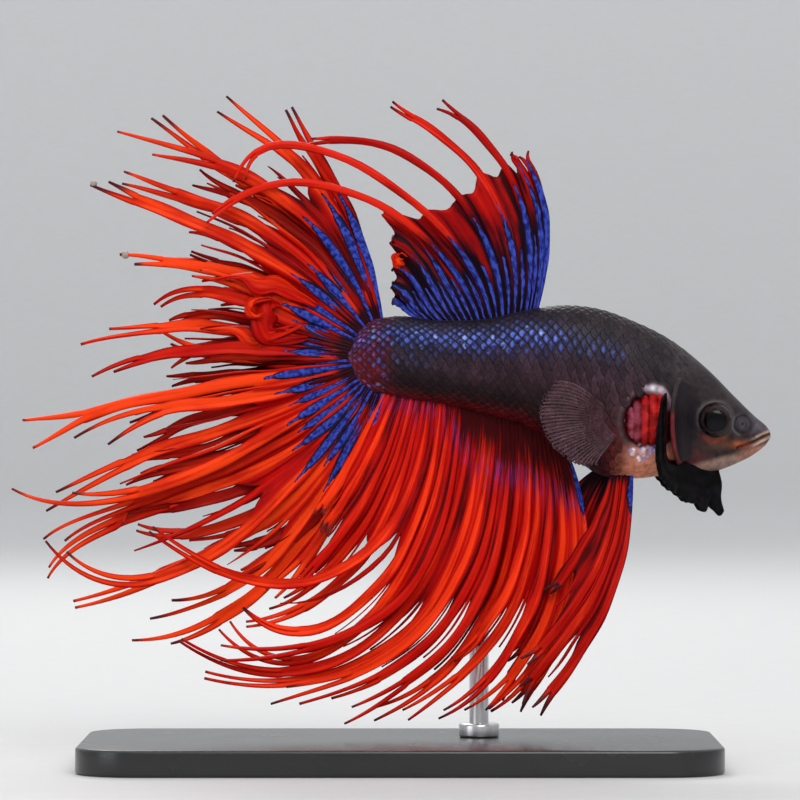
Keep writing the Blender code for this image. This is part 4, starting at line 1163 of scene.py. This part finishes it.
def web_between(sheet, left, right, order, style, chance):
    """The folded skin from one ray to the next, with a weaker ray in the middle that runs on."""
    left_ray, left_line, left_body, left_numbers, left_tone = left
    right_ray, right_line, right_body, right_numbers, right_tone = right
    rows = np.arange(WEB_ROWS + 1)[:, None]
    sag = 1.0 - style["scallop"] * np.sin(math.pi * WEB) ** 1.5
    level = rows * sag
    near, far = at_rows(left_body[:, -1], level), at_rows(right_body[:, 0], level)
    grid = near + (far - near) * WEB[:, None]
    room = np.linalg.norm(far - near, axis=-1)
    opened = ease(rows / WEB_ROWS * 1.3)
    fold = style["fold"] * chance.choice((-1, 1)) * chance.uniform(0.5, 1.0)
    grid[..., 1] += fold * (np.sin(math.pi * WEB) - 0.55 * WEB_BONE) * opened
    share = level / WEB_ROWS
    left_out = mix(-ROOT_DEPTH, left_ray.web * left_line.length, share)
    right_out = mix(-ROOT_DEPTH, right_ray.web * right_line.length, share)
    out = mix(left_out, right_out, WEB)
    half = mix(ROOT_HALF_WIDTH, style["widest"], np.clip(share, 0, 1))
    between = style["web_streak"] * (left_ray.blue + right_ray.blue) / 2
    streak = np.maximum.reduce([
        streak_at(half + room * WEB, left_out, left_ray.blue, style["streak"]),
        streak_at(half + room * (1 - WEB), right_out, right_ray.blue, style["streak"]),
        streak_at(room * np.abs(WEB - 0.5), out, between, 0.6 * style["streak"])])
    # The skin between rays is darkened towards its middle fold: painted shade in the creases.
    tone = mix(left_tone, right_tone, WEB) - style["fold_shade"] * chance.uniform(0, 1) * np.sin(math.pi * WEB)
    numbers = sheet.add(grid, bone=WEB_BONE, streak=streak, tip=0.0, tone=tone, out=out,
                        across=order + 0.14 + 0.72 * WEB)
    sheet.skin_over(np.hstack([left_numbers[:WEB_ROWS + 1, -1:], numbers,
                               right_numbers[:WEB_ROWS + 1, :1]]))
    if not style["second"]:
        return
    reach = chance.uniform(*style["second"]) * WHOLE_ROWS
    run = (np.arange(1, SECOND_ROWS + 1) / SECOND_ROWS)[:, None]
    beyond = level[-1, 2] + run[:, 0] * (WEB_ROWS * (1 - sag[2]) + reach)
    near, far = at_rows(left_body[:, -1], beyond), at_rows(right_body[:, 0], beyond)
    gap = (far - near) / 2
    wide = np.linalg.norm(gap, axis=-1, keepdims=True)
    gap = gap / wide * np.minimum(wide * 0.28, style["second_width"])
    narrowing = 1 - 0.85 * run[:, :, None] ** 1.4
    spike = ((near + far) / 2)[:, None, :] + gap[:, None, :] * WEAK[:, None] * narrowing
    spike[..., 1] += fold * 0.5
    far_out = out[-1, 2] + run * (left_line.length * (left_ray.fork - left_ray.web) * reach / WHOLE_ROWS)
    tip_numbers = sheet.add(spike, bone=WEAK_BONE, streak=0.0, tone=tone[2], out=far_out,
                            tip=0.35 * ease((run - 0.88) / 0.14), across=order + 0.5 + 0.05 * WEAK)
    sheet.skin_over(np.vstack([numbers[-1:, 1:4], tip_numbers]))


def sheet_piece(name, sheet, thick, bright_root=-9):
    """Makes a closed mesh of a sheet, thick on its bones, with its notes as attributes."""
    obj = new_object(name, np.concatenate(sheet.points), sheet.faces)
    notes = {key: np.concatenate(values) for key, values in sheet.notes.items()}
    # The first rays are painted at their root as they are further out.
    notes["out"] = notes["out"] + 5.5 * ease(1 - (notes["across"] - bright_root) / 6)
    for key in NOTES:
        note_points(obj, key, notes[key])
    fill_map(obj, "ray_run", np.stack([notes["across"], notes["out"] / 10], -1))
    bones = obj.vertex_groups.new(name="bones")
    for level in np.unique(np.round(notes["bone"], 2)):
        members = np.flatnonzero(np.abs(notes["bone"] - level) < 0.006)
        bones.add(members.tolist(), float(level), "REPLACE")
    apply_modifier(obj, "SOLIDIFY", thickness=thick * MM, offset=0.0, vertex_group="bones",
                   thickness_vertex_group=WEB_THIN)
    faces_out(obj)
    obj.data.shade_smooth()
    return obj


PLAIN_FIN = {
    "widest": 0.72,             # half the width of a ray where it leaves the web
    "tip_width": 0.07,          # half the width of a branch at its end
    "pleat": 0.45,              # how far the rays stand in turn to each side, as in a fan
    "fold": 0.5,                # depth of the folds in the skin between rays
    "cup": 0.28,                # depth of the hollow across a ray
    "scallop": 0.16,            # how far the web's edge dips between rays
    "twist": 1.0,               # how far a free ray turns on itself
    "wave": 0.45,               # how far it waves to each side
    "wander": 0.25,             # how far it strays from its line in the fin's plane
    "ragged": 0.18,             # how uneven its edges are
    "second": (0.5, 1.15),      # how far the weaker rays run on past the web
    "second_width": 0.50,
    "streak": 0.40,             # half the width of a blue streak
    "web_streak": 0.0,          # length of the streaks between the rays, as a share
    # painted shade: how dark the folds between rays are painted
    "fold_shade": 0.9,              # how dark the folds are
    "dark_end": (0.5, 4.0),     # length of the dark tips
    "bright_root": -9,          # the first rays, whose root is as red as the rest
}


def fin(name, rays, root_at, lie=None, seed=1, thick=0.30, **changes):
    """A whole fin as one closed sheet, thick along its rays."""
    sheet = Sheet()
    chance = np.random.default_rng(seed)
    style = {**PLAIN_FIN, **changes}
    laid = [ray_ribbon(sheet, ray, order, RayLine(ray, root_at(ray.place)), style, chance)
            for order, ray in enumerate(rays)]
    for order, (left, right) in enumerate(zip(laid, laid[1:])):
        web_between(sheet, left, right, order, style, chance)
    points = np.concatenate(sheet.points)
    if lie:
        points = lie(points)
    points[:, 1] += sway(points[:, 0])
    sheet.points = [points]
    return sheet_piece(name, sheet, thick, style["bright_root"])


FIN_BLACK = (0.010, 0.005, 0.016)
FIN_BLUES = (0.008, 0.013, 0.14), (0.038, 0.062, 0.37)
FIN_VIOLET = (0.16, 0.035, 0.22)
TIP_DARK = (0.030, 0.012, 0.016)


def fin_paint(name, crease_shade, main, bright, root_colour, root_length, breakup=0.5, blue_grain=3.0,
              haze=0.0):
    """Fin skin: silky red with a painted highlight along the rays and painted shade in the creases, dark at
    the root, with blue streaks edged in black.
    """
    material, tree, shader = shader_of(name, Roughness=0.40, IOR=1.38, Specular_IOR_Level=0.07,
                                       Subsurface_Weight=0.08, Subsurface_Scale=0.0004)
    run_map = node(tree, "UVMap", uv_map="ray_run").outputs[0]
    bone, streak, tip, tone, out = (noted(tree, key) for key in NOTES)

    def grained(across, along, detail):
        """A pattern that is drawn out along the rays."""
        stretch = node(tree, "Mapping", {"Scale": (across, along, 1.0), "Vector": run_map})
        return noise(tree, 1.0, detail, stretch.outputs[0], noise_dimensions="2D")

    lines = grained(14.0, 2.0, 4.0)
    clouds = grained(2.4, 1.3, 3.0)
    grain = grained(7.0, 7.0 * blue_grain, 3.0)
    # Each ray is painted brighter on its bone and darker in the skin between: painted highlight and painted
    # shade, over its own tone and fine lines.
    level = reckon(tree, "MULTIPLY_ADD", bone, 0.50, -0.46)
    for value, share in ((tone, 0.55), (lines, 0.34), (clouds, 0.75)):
        level = reckon(tree, "MULTIPLY_ADD", value, share, level)
    ramp = node(tree, "ValToRGB", {"Fac": level})
    first, last = ramp.color_ramp.elements
    first.position, first.color = 0.10, (*crease_shade, 1)
    last.position, last.color = 0.95, (*bright, 1)
    ramp.color_ramp.elements.new(0.45).color = (*main, 1)
    ramp.color_ramp.elements.new(0.72).color = (*mix(np.array(main), np.array(bright), 0.25), 1)
    wobble = reckon(tree, "MULTIPLY_ADD", clouds, 1.5 * root_length, out)
    near_root = step_mask(tree, wobble, 1.9 * root_length, 1.1 * root_length)
    colour = colour_over(tree, ramp.outputs["Color"], root_colour, near_root)
    if haze:
        fine = step_mask(tree, grained(26.0, 2.6, 1.0), 0.60, 0.70)
        reach = reckon(tree, "MULTIPLY", step_mask(tree, out, 3.5, 5.5), step_mask(tree, out, 9.5, 6.0))
        fine = reckon(tree, "MULTIPLY", fine, reckon(tree, "MULTIPLY", reach, haze))
        colour = colour_over(tree, colour, FIN_VIOLET, fine)
    ragged = reckon(tree, "MULTIPLY_ADD", grain, breakup, -0.5 * breakup)
    ragged = reckon(tree, "ADD", ragged, streak)
    present = step_mask(tree, streak, 0.02, 0.2)
    dark = reckon(tree, "MULTIPLY", step_mask(tree, ragged, 0.14, 0.30), present)
    colour = colour_over(tree, colour, FIN_BLACK, dark)
    blues = colour_over(tree, *FIN_BLUES, step_mask(tree, grain, 0.35, 0.65))
    blue = reckon(tree, "MULTIPLY", step_mask(tree, ragged, 0.46, 0.60), present)
    colour = colour_over(tree, colour, blues, blue)
    colour = colour_over(tree, colour, TIP_DARK, reckon(tree, "MULTIPLY", tip, 0.88))
    surface(tree, shader, colour, lines, 0.35, 0.05)
    return material


TAIL_PAINT = fin_paint("tail_red", (0.07, 0.0006, 0.001), (0.40, 0.003, 0.002), (0.80, 0.048, 0.006),
                       (0.020, 0.002, 0.005), 1.8, breakup=0.26)
# the tail's red made darker, as painted shade for the rays that lie behind the others
SHADED_TAIL_PAINT = fin_paint("tail_red_painted_shade", (0.045, 0.0004, 0.0008), (0.21, 0.002, 0.002),
                       (0.50, 0.020, 0.005), (0.020, 0.002, 0.005), 1.8)


def caudal_root(angle):
    return np.array(CAUDAL_CENTRE) + np.array(CAUDAL_RADII) * heading(angle)


tail_fin = fin("tail_fin", CAUDAL, caudal_root, seed=3, streak=0.46)
finish_piece(tail_fin, TAIL_PAINT, "fin_red", "caudal_fin")

# Weaker rays lie between the main ones on the far side, so the tail is full to two thirds. They are painted
# a deeper red as painted shade, since they lie in the shade of the others.
BETWEEN = []
chance = np.random.default_rng(17)
for first, second in zip(np.array(CAUDAL), np.array(CAUDAL[1:])):
    ray = Ray(*(first + second) / 2)
    root = caudal_root(ray.place)
    tip = mix(root, np.array([ray.tip_x, ray.tip_z]), chance.uniform(0.66, 0.84))
    BETWEEN.append(Ray(ray.place, ray.heading, *tip, ray.tip_heading, chance.uniform(0.5, 0.62), 0.84,
                       chance.uniform(0.6, 1.6), 1.5))
finish_piece(fin("tail_fin_between", BETWEEN, caudal_root, seed=29, widest=0.62, pleat=0.5,
                 scallop=0.22, dark_end=(0.1, 0.2)), SHADED_TAIL_PAINT, "fin_red")

FOLD_ROWS = 56
FOLD_BONE = np.array([0.1, 0.6, 0.3, 0.7, 0.5, 0.7, 0.3, 0.6, 0.1])


def curled_ribbon(path):
    """A folded strip of fin skin along x, y, z points, each with its turn and half width."""
    run = np.linspace(0, 1, FOLD_ROWS)
    line = smooth_run(np.column_stack([np.linspace(0, 1, len(path)), path]), run)
    slope = np.gradient(line[:, (0, 2)], axis=0)
    slope /= np.linalg.norm(slope, axis=1, keepdims=True)
    turn = np.radians(line[:, 3:4])
    strip = np.linspace(-1, 1, len(FOLD_BONE))
    reach = line[:, 4:] * strip * (1 + 0.25 * np.sin(run[:, None] * 19 + 2 * strip))
    reach = reach * np.sqrt(np.sin(math.pi * mix(0.04, 0.96, run)))[:, None]
    crinkle = 0.22 * np.sin(strip * 5 + run[:, None] * 13)
    return np.stack([line[:, :1] + slope[:, 1:] * reach * np.cos(turn),
                     line[:, 1:2] + reach * np.sin(turn) + crinkle,
                     line[:, 2:3] - slope[:, :1] * reach * np.cos(turn)], axis=-1)


def folds(name, ribbons):
    """Several curled strips as one piece, each with how bright it is painted, as painted highlight and
    shade on the folds.
    """
    sheet = Sheet()
    for order, (path, tone) in enumerate(ribbons):
        points = curled_ribbon(path)
        points[..., 1] += sway(points[..., 0])
        sheet.skin_over(sheet.add(points, bone=FOLD_BONE, streak=0.0, tip=0.0, tone=tone,
                                  out=np.linspace(9, 15, FOLD_ROWS)[:, None],
                                  across=order + np.linspace(0, 0.9, len(FOLD_BONE))))
    return sheet_piece(name, sheet, 0.2)


# The one crumpled place of the tail, where the skin between three rays has doubled over itself.
# Its strips are painted some bright and some dark, as painted highlight and shade on the folds.
finish_piece(folds("tail_crumple", [
    ([(-9.5, -0.2, 52.0, 10, 0.8), (-13.0, -0.9, 54.0, 40, 1.3), (-16.0, -1.5, 54.6, 20, 1.2),
      (-18.6, -1.3, 55.4, 60, 0.7), (-22.4, -0.8, 54.8, 20, 0.3)], 0.6),
    ([(-11.2, -0.1, 51.5, 0, 1.0), (-14.2, -1.0, 53.0, 30, 1.5), (-15.6, -1.7, 51.6, 10, 1.6),
      (-15.3, -1.5, 49.4, -30, 1.5), (-13.6, -0.9, 48.3, 0, 1.2), (-10.4, -0.2, 48.5, 0, 0.6)], 0.0),
    ([(-14.4, -1.8, 52.8, 0, 0.3), (-16.2, -2.2, 52.7, 50, 0.6), (-17.0, -2.4, 51.8, 0, 0.7),
      (-16.2, -2.2, 50.9, -40, 0.6), (-15.3, -1.9, 51.2, 0, 0.3)], 0.7),
    ([(-10.6, 0.0, 50.0, 0, 0.6), (-14.6, -1.0, 48.9, 40, 1.0), (-16.6, -1.3, 48.2, -20, 1.0),
      (-19.0, -0.9, 49.4, 50, 0.9), (-22.6, -0.4, 49.4, 0, 0.3)], 0.55)]), TAIL_PAINT, "fin_red")

# Two rays of the upper lobe end in small pale beads of thickened skin.
BEADS = [(-35.4, 67.6, 0.40), (-31.4, 57.9, 0.46)]       # place and radius
BEAD_SKIN = (0.16, 0.10, 0.085), (0.46, 0.40, 0.37)
pale_skin, tree, shader = shader_of("pale_ray_end", Roughness=0.35, IOR=1.4, Specular_IOR_Level=0.3)
clouds = noise(tree, 1900.0)
surface(tree, shader, colour_over(tree, *BEAD_SKIN, clouds), clouds, 0.3, 0.05)
ray_points = mesh_points(tail_fin)
beads = []
for bead_x, bead_z, size in BEADS:
    nearest = ray_points[np.argmin(np.hypot(ray_points[:, 0] - bead_x, ray_points[:, 2] - bead_z))]
    deselect()
    bpy.ops.mesh.primitive_ico_sphere_add(subdivisions=3, radius=size * MM,
                                          location=(nearest + (0.3, 0, 0)) * MM)
    bpy.ops.object.transform_apply(location=True, rotation=True, scale=True)
    beads.append(bpy.context.object)
beads = joined("tail_ray_beads", beads)
beads.data.shade_smooth()
finish_piece(beads, pale_skin, "fin_red")

# ---------------------------------------------------------------- back fin
# The dorsal fin: twelve rays in a web that is whole to its edge, with filaments from the front
# rays that trail back over the tail. Each ray has a long blue streak on black from the root up.

DORSAL = [
    Ray(0.0, 76, 13.9, 69.2, 122, 0.9, 0.95, 0.3, 0.0, 17.5),
    Ray(0.03, 77, 12.6, 69.4, 124, 0.9, 0.95, 0.3, 0.0, 16.5),
    Ray(0.085, 80, 4.5, 74.9, 150, 0.62, 0.9, 0.3, 0.6, 14.0),
    Ray(0.175, 84, -1.1, 74.5, 158, 0.56, 0.9, 0.3, -0.5, 12.0),
    Ray(0.265, 92, -11.2, 70.1, 197, 0.42, 0.9, 0.3, -2.6, 11.0, 0.42, 0.40),
    Ray(0.355, 100, -18.0, 65.8, 262, 0.36, 0.9, 0.3, -3.5, 10.0),
    Ray(0.45, 108, -21.6, 61.3, 232, 0.38, 0.9, 0.3, -2.7, 9.5, 0.42, 0.40),
    Ray(0.545, 118, -1.9, 62.6, 150, 0.985, 0.993, 0.2, 0.3, 9.0),
    Ray(0.64, 126, -1.0, 59.4, 158, 0.985, 0.993, 0.2, -0.2, 8.0),
    Ray(0.74, 135, -0.7, 56.6, 160, 0.985, 0.993, 0.2, 0.2, 7.0),
    Ray(0.84, 144, -0.9, 54.4, 165, 0.985, 0.993, 0.2, -0.2, 6.0),
    Ray(0.93, 156, -0.8, 52.6, 172, 0.985, 0.993, 0.2, 0.1, 4.6),
]
DORSAL_ROOT = (15.6, 0.6)


def dorsal_root(share):
    x = mix(*DORSAL_ROOT, share)
    return x, float(body_at(x)[0])


BACK_PAINT = fin_paint("back_fin_red", (0.025, 0.0005, 0.001), (0.30, 0.002, 0.002), (0.62, 0.016, 0.006),
                       (0.004, 0.001, 0.005), 13.5, breakup=0.6, blue_grain=1.6)
finish_piece(fin("back_fin", DORSAL, dorsal_root, seed=5, widest=0.42, tip_width=0.08, twist=0.3,
                 wave=0.15, wander=0.0, pleat=0.3, fold=0.3, second=None, scallop=0.05,
                 streak=0.29, web_streak=0.5, dark_end=(0.3, 0.8)), BACK_PAINT, "fin_red", "dorsal_fin")

# A small curl at the hind edge of the back fin, where its web has rolled up; it is painted bright, a
# painted highlight on the roll.
finish_piece(folds("back_fin_curl", [
    ([(1.6, 0.5, 57.6, 0, 0.4), (0.5, 0.2, 58.1, 60, 0.7), (-0.3, -0.3, 57.7, 120, 0.8),
      (-0.3, -0.6, 57.0, 170, 0.8), (0.5, -0.4, 56.7, 230, 0.4)], 1.0)]), TAIL_PAINT, "fin_red")

# ---------------------------------------------------------------- anal fin
# The long fin under the body, like a pleated curtain: twenty soft rays close together, their
# lower halves free and swept back as ribbons, and a short ray along the hind edge.

ANAL = [
    Ray(0.0, 250, -8.8, 26.4, 234, 0.80, 0.92, 0.8, -0.5, 0.0, 0.40, 0.30),
    Ray(0.055, 256, -11.9, 20.6, 222, 0.76, 0.88, 0.8, -0.6, 0.0, 0.48, 0.24),
    Ray(0.10, 258, -14.9, 18.0, 202, 0.74, 0.82, 0.8, -0.3, 0.0, 0.52, 0.26),
    Ray(0.15, 260, -17.4, 16.4, 184, 0.50, 0.80, 0.8, -0.5, 0.0, 0.57, 0.30),
    Ray(0.20, 265, -28.0, 26.9, 140, 0.38, 0.80, 1.0, -3.0, 0.0, 0.68, 0.46),
    Ray(0.265, 267, -17.7, 18.0, 138, 0.46, 0.82, 0.9, -1.7, 0.0, 0.64),
    Ray(0.32, 267, -19.5, 16.2, 125, 0.55, 0.80, 0.9, -0.6, 0.0, 0.61, 0.42),
    Ray(0.38, 267, -20.2, 12.8, 180, 0.55, 0.78, 1.2, -2.4, 0.0, 0.58, 0.45),
    Ray(0.44, 267, -24.9, 14.0, 150, 0.50, 0.76, 1.2, -1.4, 0.0, 0.57, 0.45),
    Ray(0.50, 268, -22.1, 10.0, 172, 0.50, 0.78, 1.0, -0.1, 0.0, 0.56, 0.45),
    Ray(0.56, 268, -14.7, 7.7, 190, 0.55, 0.78, 1.2, -1.5, 0.0, 0.52, 0.40),
    Ray(0.61, 270, -11.3, 6.7, 195, 0.54, 0.78, 1.0, -0.7, 0.0, 0.50, 0.40),
    Ray(0.66, 271, -6.7, 6.0, 200, 0.56, 0.80, 1.2, -1.7, 0.0, 0.48, 0.40),
    Ray(0.71, 273, -3.2, 5.6, 204, 0.56, 0.80, 0.9, 0.0, 0.0, 0.46, 0.38),
    Ray(0.76, 276, 6.0, 12.0, 220, 0.60, 0.86, 0.9, -1.1, 0.0, 0.44, 0.34),
    Ray(0.81, 277, 0.6, 5.7, 208, 0.56, 0.80, 0.9, -0.4, 0.0, 0.44),
    Ray(0.86, 280, 4.3, 5.5, 212, 0.58, 0.80, 0.9, -1.4),
    Ray(0.91, 284, 7.7, 5.7, 216, 0.60, 0.82, 0.9, 0.2),
    Ray(0.955, 288, 10.2, 6.2, 220, 0.64, 0.82, 0.9, -0.9),
    Ray(1.0, 291, 12.7, 7.1, 224, 0.68, 0.84, 0.9, -0.2, 7.5),
]
ANAL_ROOT = (-0.7, 19.0)
EDGE_RAY = Ray(-0.06, 245, -9.4, 28.2, 236, 0.75, 0.90, 0.5, -0.4, 0.0, 0.40, 0.30)


def anal_root(share):
    x = mix(*ANAL_ROOT, share)
    return x, float(body_at(x)[1])


CURTAIN_PAINT = fin_paint("curtain_red", (0.08, 0.0006, 0.0008), (0.44, 0.003, 0.002),
                          (0.80, 0.036, 0.005), (0.036, 0.0010, 0.002), 7.0, haze=0.75)
finish_piece(fin("anal_fin_curtain", [EDGE_RAY] + ANAL, anal_root, seed=8, bright_root=5, widest=0.56,
                 pleat=0.35, fold=0.35, twist=0.6, second=(0.3, 0.95), streak=0.34,
                 dark_end=(0.3, 2.0)), CURTAIN_PAINT, "fin_red", "anal_fin")

# ---------------------------------------------------------------- pelvic fins
# A pair of narrow fins under the throat, each a short stiff spine with soft rays that trail far
# down and back. The front edge has a blue streak, and the far fin is black round its root.

PELVIC = [
    Ray(0.0, 259, 17.2, 19.4, 242, 0.78, 0.9, 0.4, 0.7),
    Ray(0.33, 267, 14.4, 11.6, 230, 0.78, 0.9, 0.4, 1.3, 0.0, 0.44),
    Ray(0.66, 268, 13.0, 7.8, 230, 0.75, 0.9, 0.4, 1.9, 0.0, 0.44),
    Ray(1.0, 271, 15.4, 6.2, 234, 0.75, 0.9, 0.4, 2.6, 5.0, 0.44),
]
PELVIC_ROOTS = {"right": ((24.0, 33.6), (26.2, 33.7)), "left": ((22.2, 33.4), (24.4, 33.6))}
PELVIC_TURN = {"right": (0, 0), "left": (-46, -16)}      # of the hindmost and the front ray
PELVIC_SHIFT = {"right": 0.0, "left": -2.1}
PELVIC_DARK = {"right": 2.2, "left": 5.5}                # length of the black at the root
PELVIC_OUT = 1.3


def line_root(ends):
    """The root of a fin along a straight line."""
    return lambda share: (mix(ends[0][0], ends[1][0], share), mix(ends[0][1], ends[1][1], share))


def spread_to(side, base):
    """Lays a fin made in the middle plane to one side of the fish, a distance from the middle."""
    def lie(points):
        points = points.copy()
        points[:, 1] = side * (base + points[:, 1])
        return points
    return lie


for side_name, side in SIDES:
    rays = [ray._replace(tip_x=ray.tip_x + PELVIC_SHIFT[side_name],
                         heading=ray.heading + mix(*PELVIC_TURN[side_name], ray.place))
            for ray in PELVIC]
    paint = fin_paint("pelvic_red_" + side_name, (0.06, 0.0006, 0.001), (0.36, 0.003, 0.002),
                      (0.76, 0.036, 0.006), (0.008, 0.002, 0.005), PELVIC_DARK[side_name])
    piece = fin("pelvic_" + side_name, rays, line_root(PELVIC_ROOTS[side_name]), seed=13,
                lie=spread_to(side, PELVIC_OUT), widest=0.6, pleat=0.25, fold=0.25, twist=0.4,
                wave=0.2, second=(0.2, 0.8), streak=0.4)
    finish_piece(piece, paint, "fin_red", "pelvic_fin_" + side_name)

# ---------------------------------------------------------------- pectoral fins
# The pair of clear fan-shaped fins behind the gills, held out from the flank: fine mauve rays,
# jointed across, in a glassy web.

PECTORAL = [
    Ray(0.0, 150, 17.4, 43.4, 190, 0.982, 0.991, 0.2, 2.6, 0, 0.40),
    Ray(0.15, 162, 16.2, 41.7, 186, 0.982, 0.991, 0.2, 3.0, 0, 0.40),
    Ray(0.3, 174, 15.7, 39.9, 188, 0.982, 0.991, 0.2, 3.3, 0, 0.40),
    Ray(0.45, 187, 16.1, 38.0, 196, 0.982, 0.991, 0.2, 3.4, 0, 0.40),
    Ray(0.6, 200, 17.1, 36.3, 208, 0.982, 0.991, 0.2, 3.4, 0, 0.40),
    Ray(0.75, 214, 18.6, 34.9, 220, 0.982, 0.991, 0.2, 3.2, 0, 0.40),
    Ray(0.88, 228, 20.3, 34.1, 234, 0.982, 0.991, 0.2, 2.9, 0, 0.40),
    Ray(1.0, 242, 21.9, 34.2, 246, 0.982, 0.991, 0.2, 2.5, 0, 0.40),
]
PECTORAL_ROOT = ((24.2, 39.9), (24.6, 38.0))
PECTORAL_RAYS = 30
PECTORAL_SINK = 0.5            # how far its root lies under the flank
CLEAR_FLESH = (0.046, 0.015, 0.022), (0.105, 0.056, 0.068)
table = np.array(PECTORAL)
fine_rays = [Ray(*row) for row in smooth_run(np.column_stack([table[:, 0], table]),
                                             np.linspace(0, 1, PECTORAL_RAYS))]

clear_fin, tree, shader = shader_of("clear_fin", Roughness=0.35, IOR=1.4, Specular_IOR_Level=0.2)
bone = noted(tree, "bone")
joints = node(tree, "TexWave", {"Scale": 9.0, "Distortion": 1.5,
                                "Vector": node(tree, "UVMap", uv_map="ray_run").outputs[0]},
              wave_type="BANDS", bands_direction="Y")
flesh, _ = mottled(tree, colour_over(tree, *CLEAR_FLESH, bone), 1800.0, 0.5)
feed(tree, shader.inputs["Alpha"], ranged(tree, bone, 0.0, 1.0, 0.5, 0.8))
surface(tree, shader, flesh, joints.outputs["Fac"], 0.4, 0.04)
base_y = float(flank(*np.array(PECTORAL_ROOT[0]))) - PECTORAL_SINK
for side_name, side in SIDES:
    piece = fin("pectoral_" + side_name, fine_rays, line_root(PECTORAL_ROOT), seed=21,
                lie=spread_to(side, base_y), widest=0.11, tip_width=0.04, pleat=0.05, fold=0.06,
                twist=0.1, wave=0.05, wander=0.0, ragged=0.0, cup=0.04, second=None, scallop=0.02,
                thick=0.16)
    finish_piece(piece, clear_fin, "fin_mauve", "pectoral_fin_" + side_name)

# ---------------------------------------------------------------- stand
# A plain museum stand: a black acrylic plate with softened edges, a brushed steel rod bent in to
# the fish's far flank, and a small turned steel collar that clamps the rod to the plate.

PLATE_SIZE = (72.0, 40.0, 3.0)
PLATE_CORNER = 7.0
PLATE_EDGE = 0.35
ROD_RADIUS = 1.1
ROD_FOOT = (9.0, 3.8)
ROD_PATH = [(*ROD_FOOT, 1.4), (*ROD_FOOT, 10.0), (*ROD_FOOT, 22.0), (*ROD_FOOT, 33.0),
            (9.0, 3.6, 36.5), (9.0, 2.9, 39.5), (9.0, 1.8, 42.0), (9.0, 0.9, 43.6)]
COLLAR_RADIUS = 2.3
COLLAR_HEIGHT = 1.6
COLLAR_MIDDLE_Z = 3.8
COLLAR_EDGE = 0.28
ACRYLIC_BLACKS = (0.010, 0.010, 0.011), (0.017, 0.017, 0.018)
STEELS = (0.48, 0.48, 0.50), (0.66, 0.66, 0.67)

acrylic, tree, shader = shader_of("stand_acrylic", Roughness=0.22, IOR=1.49)
haze = noise(tree, 60.0, 5.0)
feed(tree, shader.inputs["Roughness"], ranged(tree, haze, 0.0, 1.0, 0.16, 0.34))
surface(tree, shader, colour_over(tree, *ACRYLIC_BLACKS, haze), haze, 0.08, 0.05)

deselect()
bpy.ops.mesh.primitive_cube_add(size=1.0, location=(0, 0, PLATE_SIZE[2] / 2 * MM),
                                scale=[side * MM for side in PLATE_SIZE])
plate = bpy.context.object
bpy.ops.object.transform_apply(location=True, rotation=True, scale=True)
corners = bmesh.new()
corners.from_mesh(plate.data)
upright = [e for e in corners.edges if abs(e.verts[0].co.z - e.verts[1].co.z) > 1.0 * MM]
bmesh.ops.bevel(corners, geom=upright, offset=PLATE_CORNER * MM, segments=20, affect="EDGES", profile=0.5)
rims = [e for e in corners.edges if abs(e.verts[0].co.z - e.verts[1].co.z) < 0.01 * MM
        and abs(e.link_faces[0].normal.z - e.link_faces[1].normal.z) > 0.5]
bmesh.ops.bevel(corners, geom=rims, offset=PLATE_EDGE * MM, segments=4, affect="EDGES", profile=0.5)
corners.to_mesh(plate.data)
corners.free()
plate.data.shade_smooth()
plate.data.set_sharp_from_angle(angle=math.radians(40))
plate.name = "stand_plate"
finish_piece(plate, acrylic, "stand_black", "stand_base")

steel, tree, shader = shader_of("stand_steel", Metallic=1.0, Roughness=0.28)
along_rod = node(tree, "Mapping", {"Scale": (3200.0, 3200.0, 120.0),
                                   "Vector": node(tree, "TexCoord").outputs["Object"]})
brushing = noise(tree, 1.0, 3.0, along_rod.outputs[0])
surface(tree, shader, colour_over(tree, *STEELS, brushing), brushing, 0.15, 0.02)

deselect()
curve = bpy.data.curves.new("stand_post", "CURVE")
curve.dimensions = "3D"
curve.bevel_depth = ROD_RADIUS * MM
curve.bevel_resolution = 12
curve.use_fill_caps = True
spline = curve.splines.new("BEZIER")
spline.bezier_points.add(len(ROD_PATH) - 1)
for point, spot in zip(spline.bezier_points, ROD_PATH):
    point.co = Vector(spot) * MM
    point.handle_left_type = point.handle_right_type = "AUTO"
post = bpy.data.objects.new("stand_post", curve)
bpy.context.scene.collection.objects.link(post)
select_only(post)
bpy.ops.object.convert(target="MESH")
post = bpy.context.object
post.data.shade_smooth()
post.data.set_sharp_from_angle(angle=math.radians(50))
finish_piece(post, steel, "rod_steel", "stand_rod")

deselect()
bpy.ops.mesh.primitive_cylinder_add(vertices=48, radius=COLLAR_RADIUS * MM, depth=COLLAR_HEIGHT * MM,
                                    location=[side * MM for side in (*ROD_FOOT, COLLAR_MIDDLE_Z)])
collar = bpy.context.object
bpy.ops.object.transform_apply(location=True, rotation=True, scale=True)
apply_modifier(collar, "BEVEL", width=COLLAR_EDGE * MM, segments=3, limit_method="ANGLE",
               angle_limit=math.radians(60))
collar.data.shade_smooth()
collar.data.set_sharp_from_angle(angle=math.radians(35))
collar.name = "stand_collar"
finish_piece(collar, steel, "rod_steel")
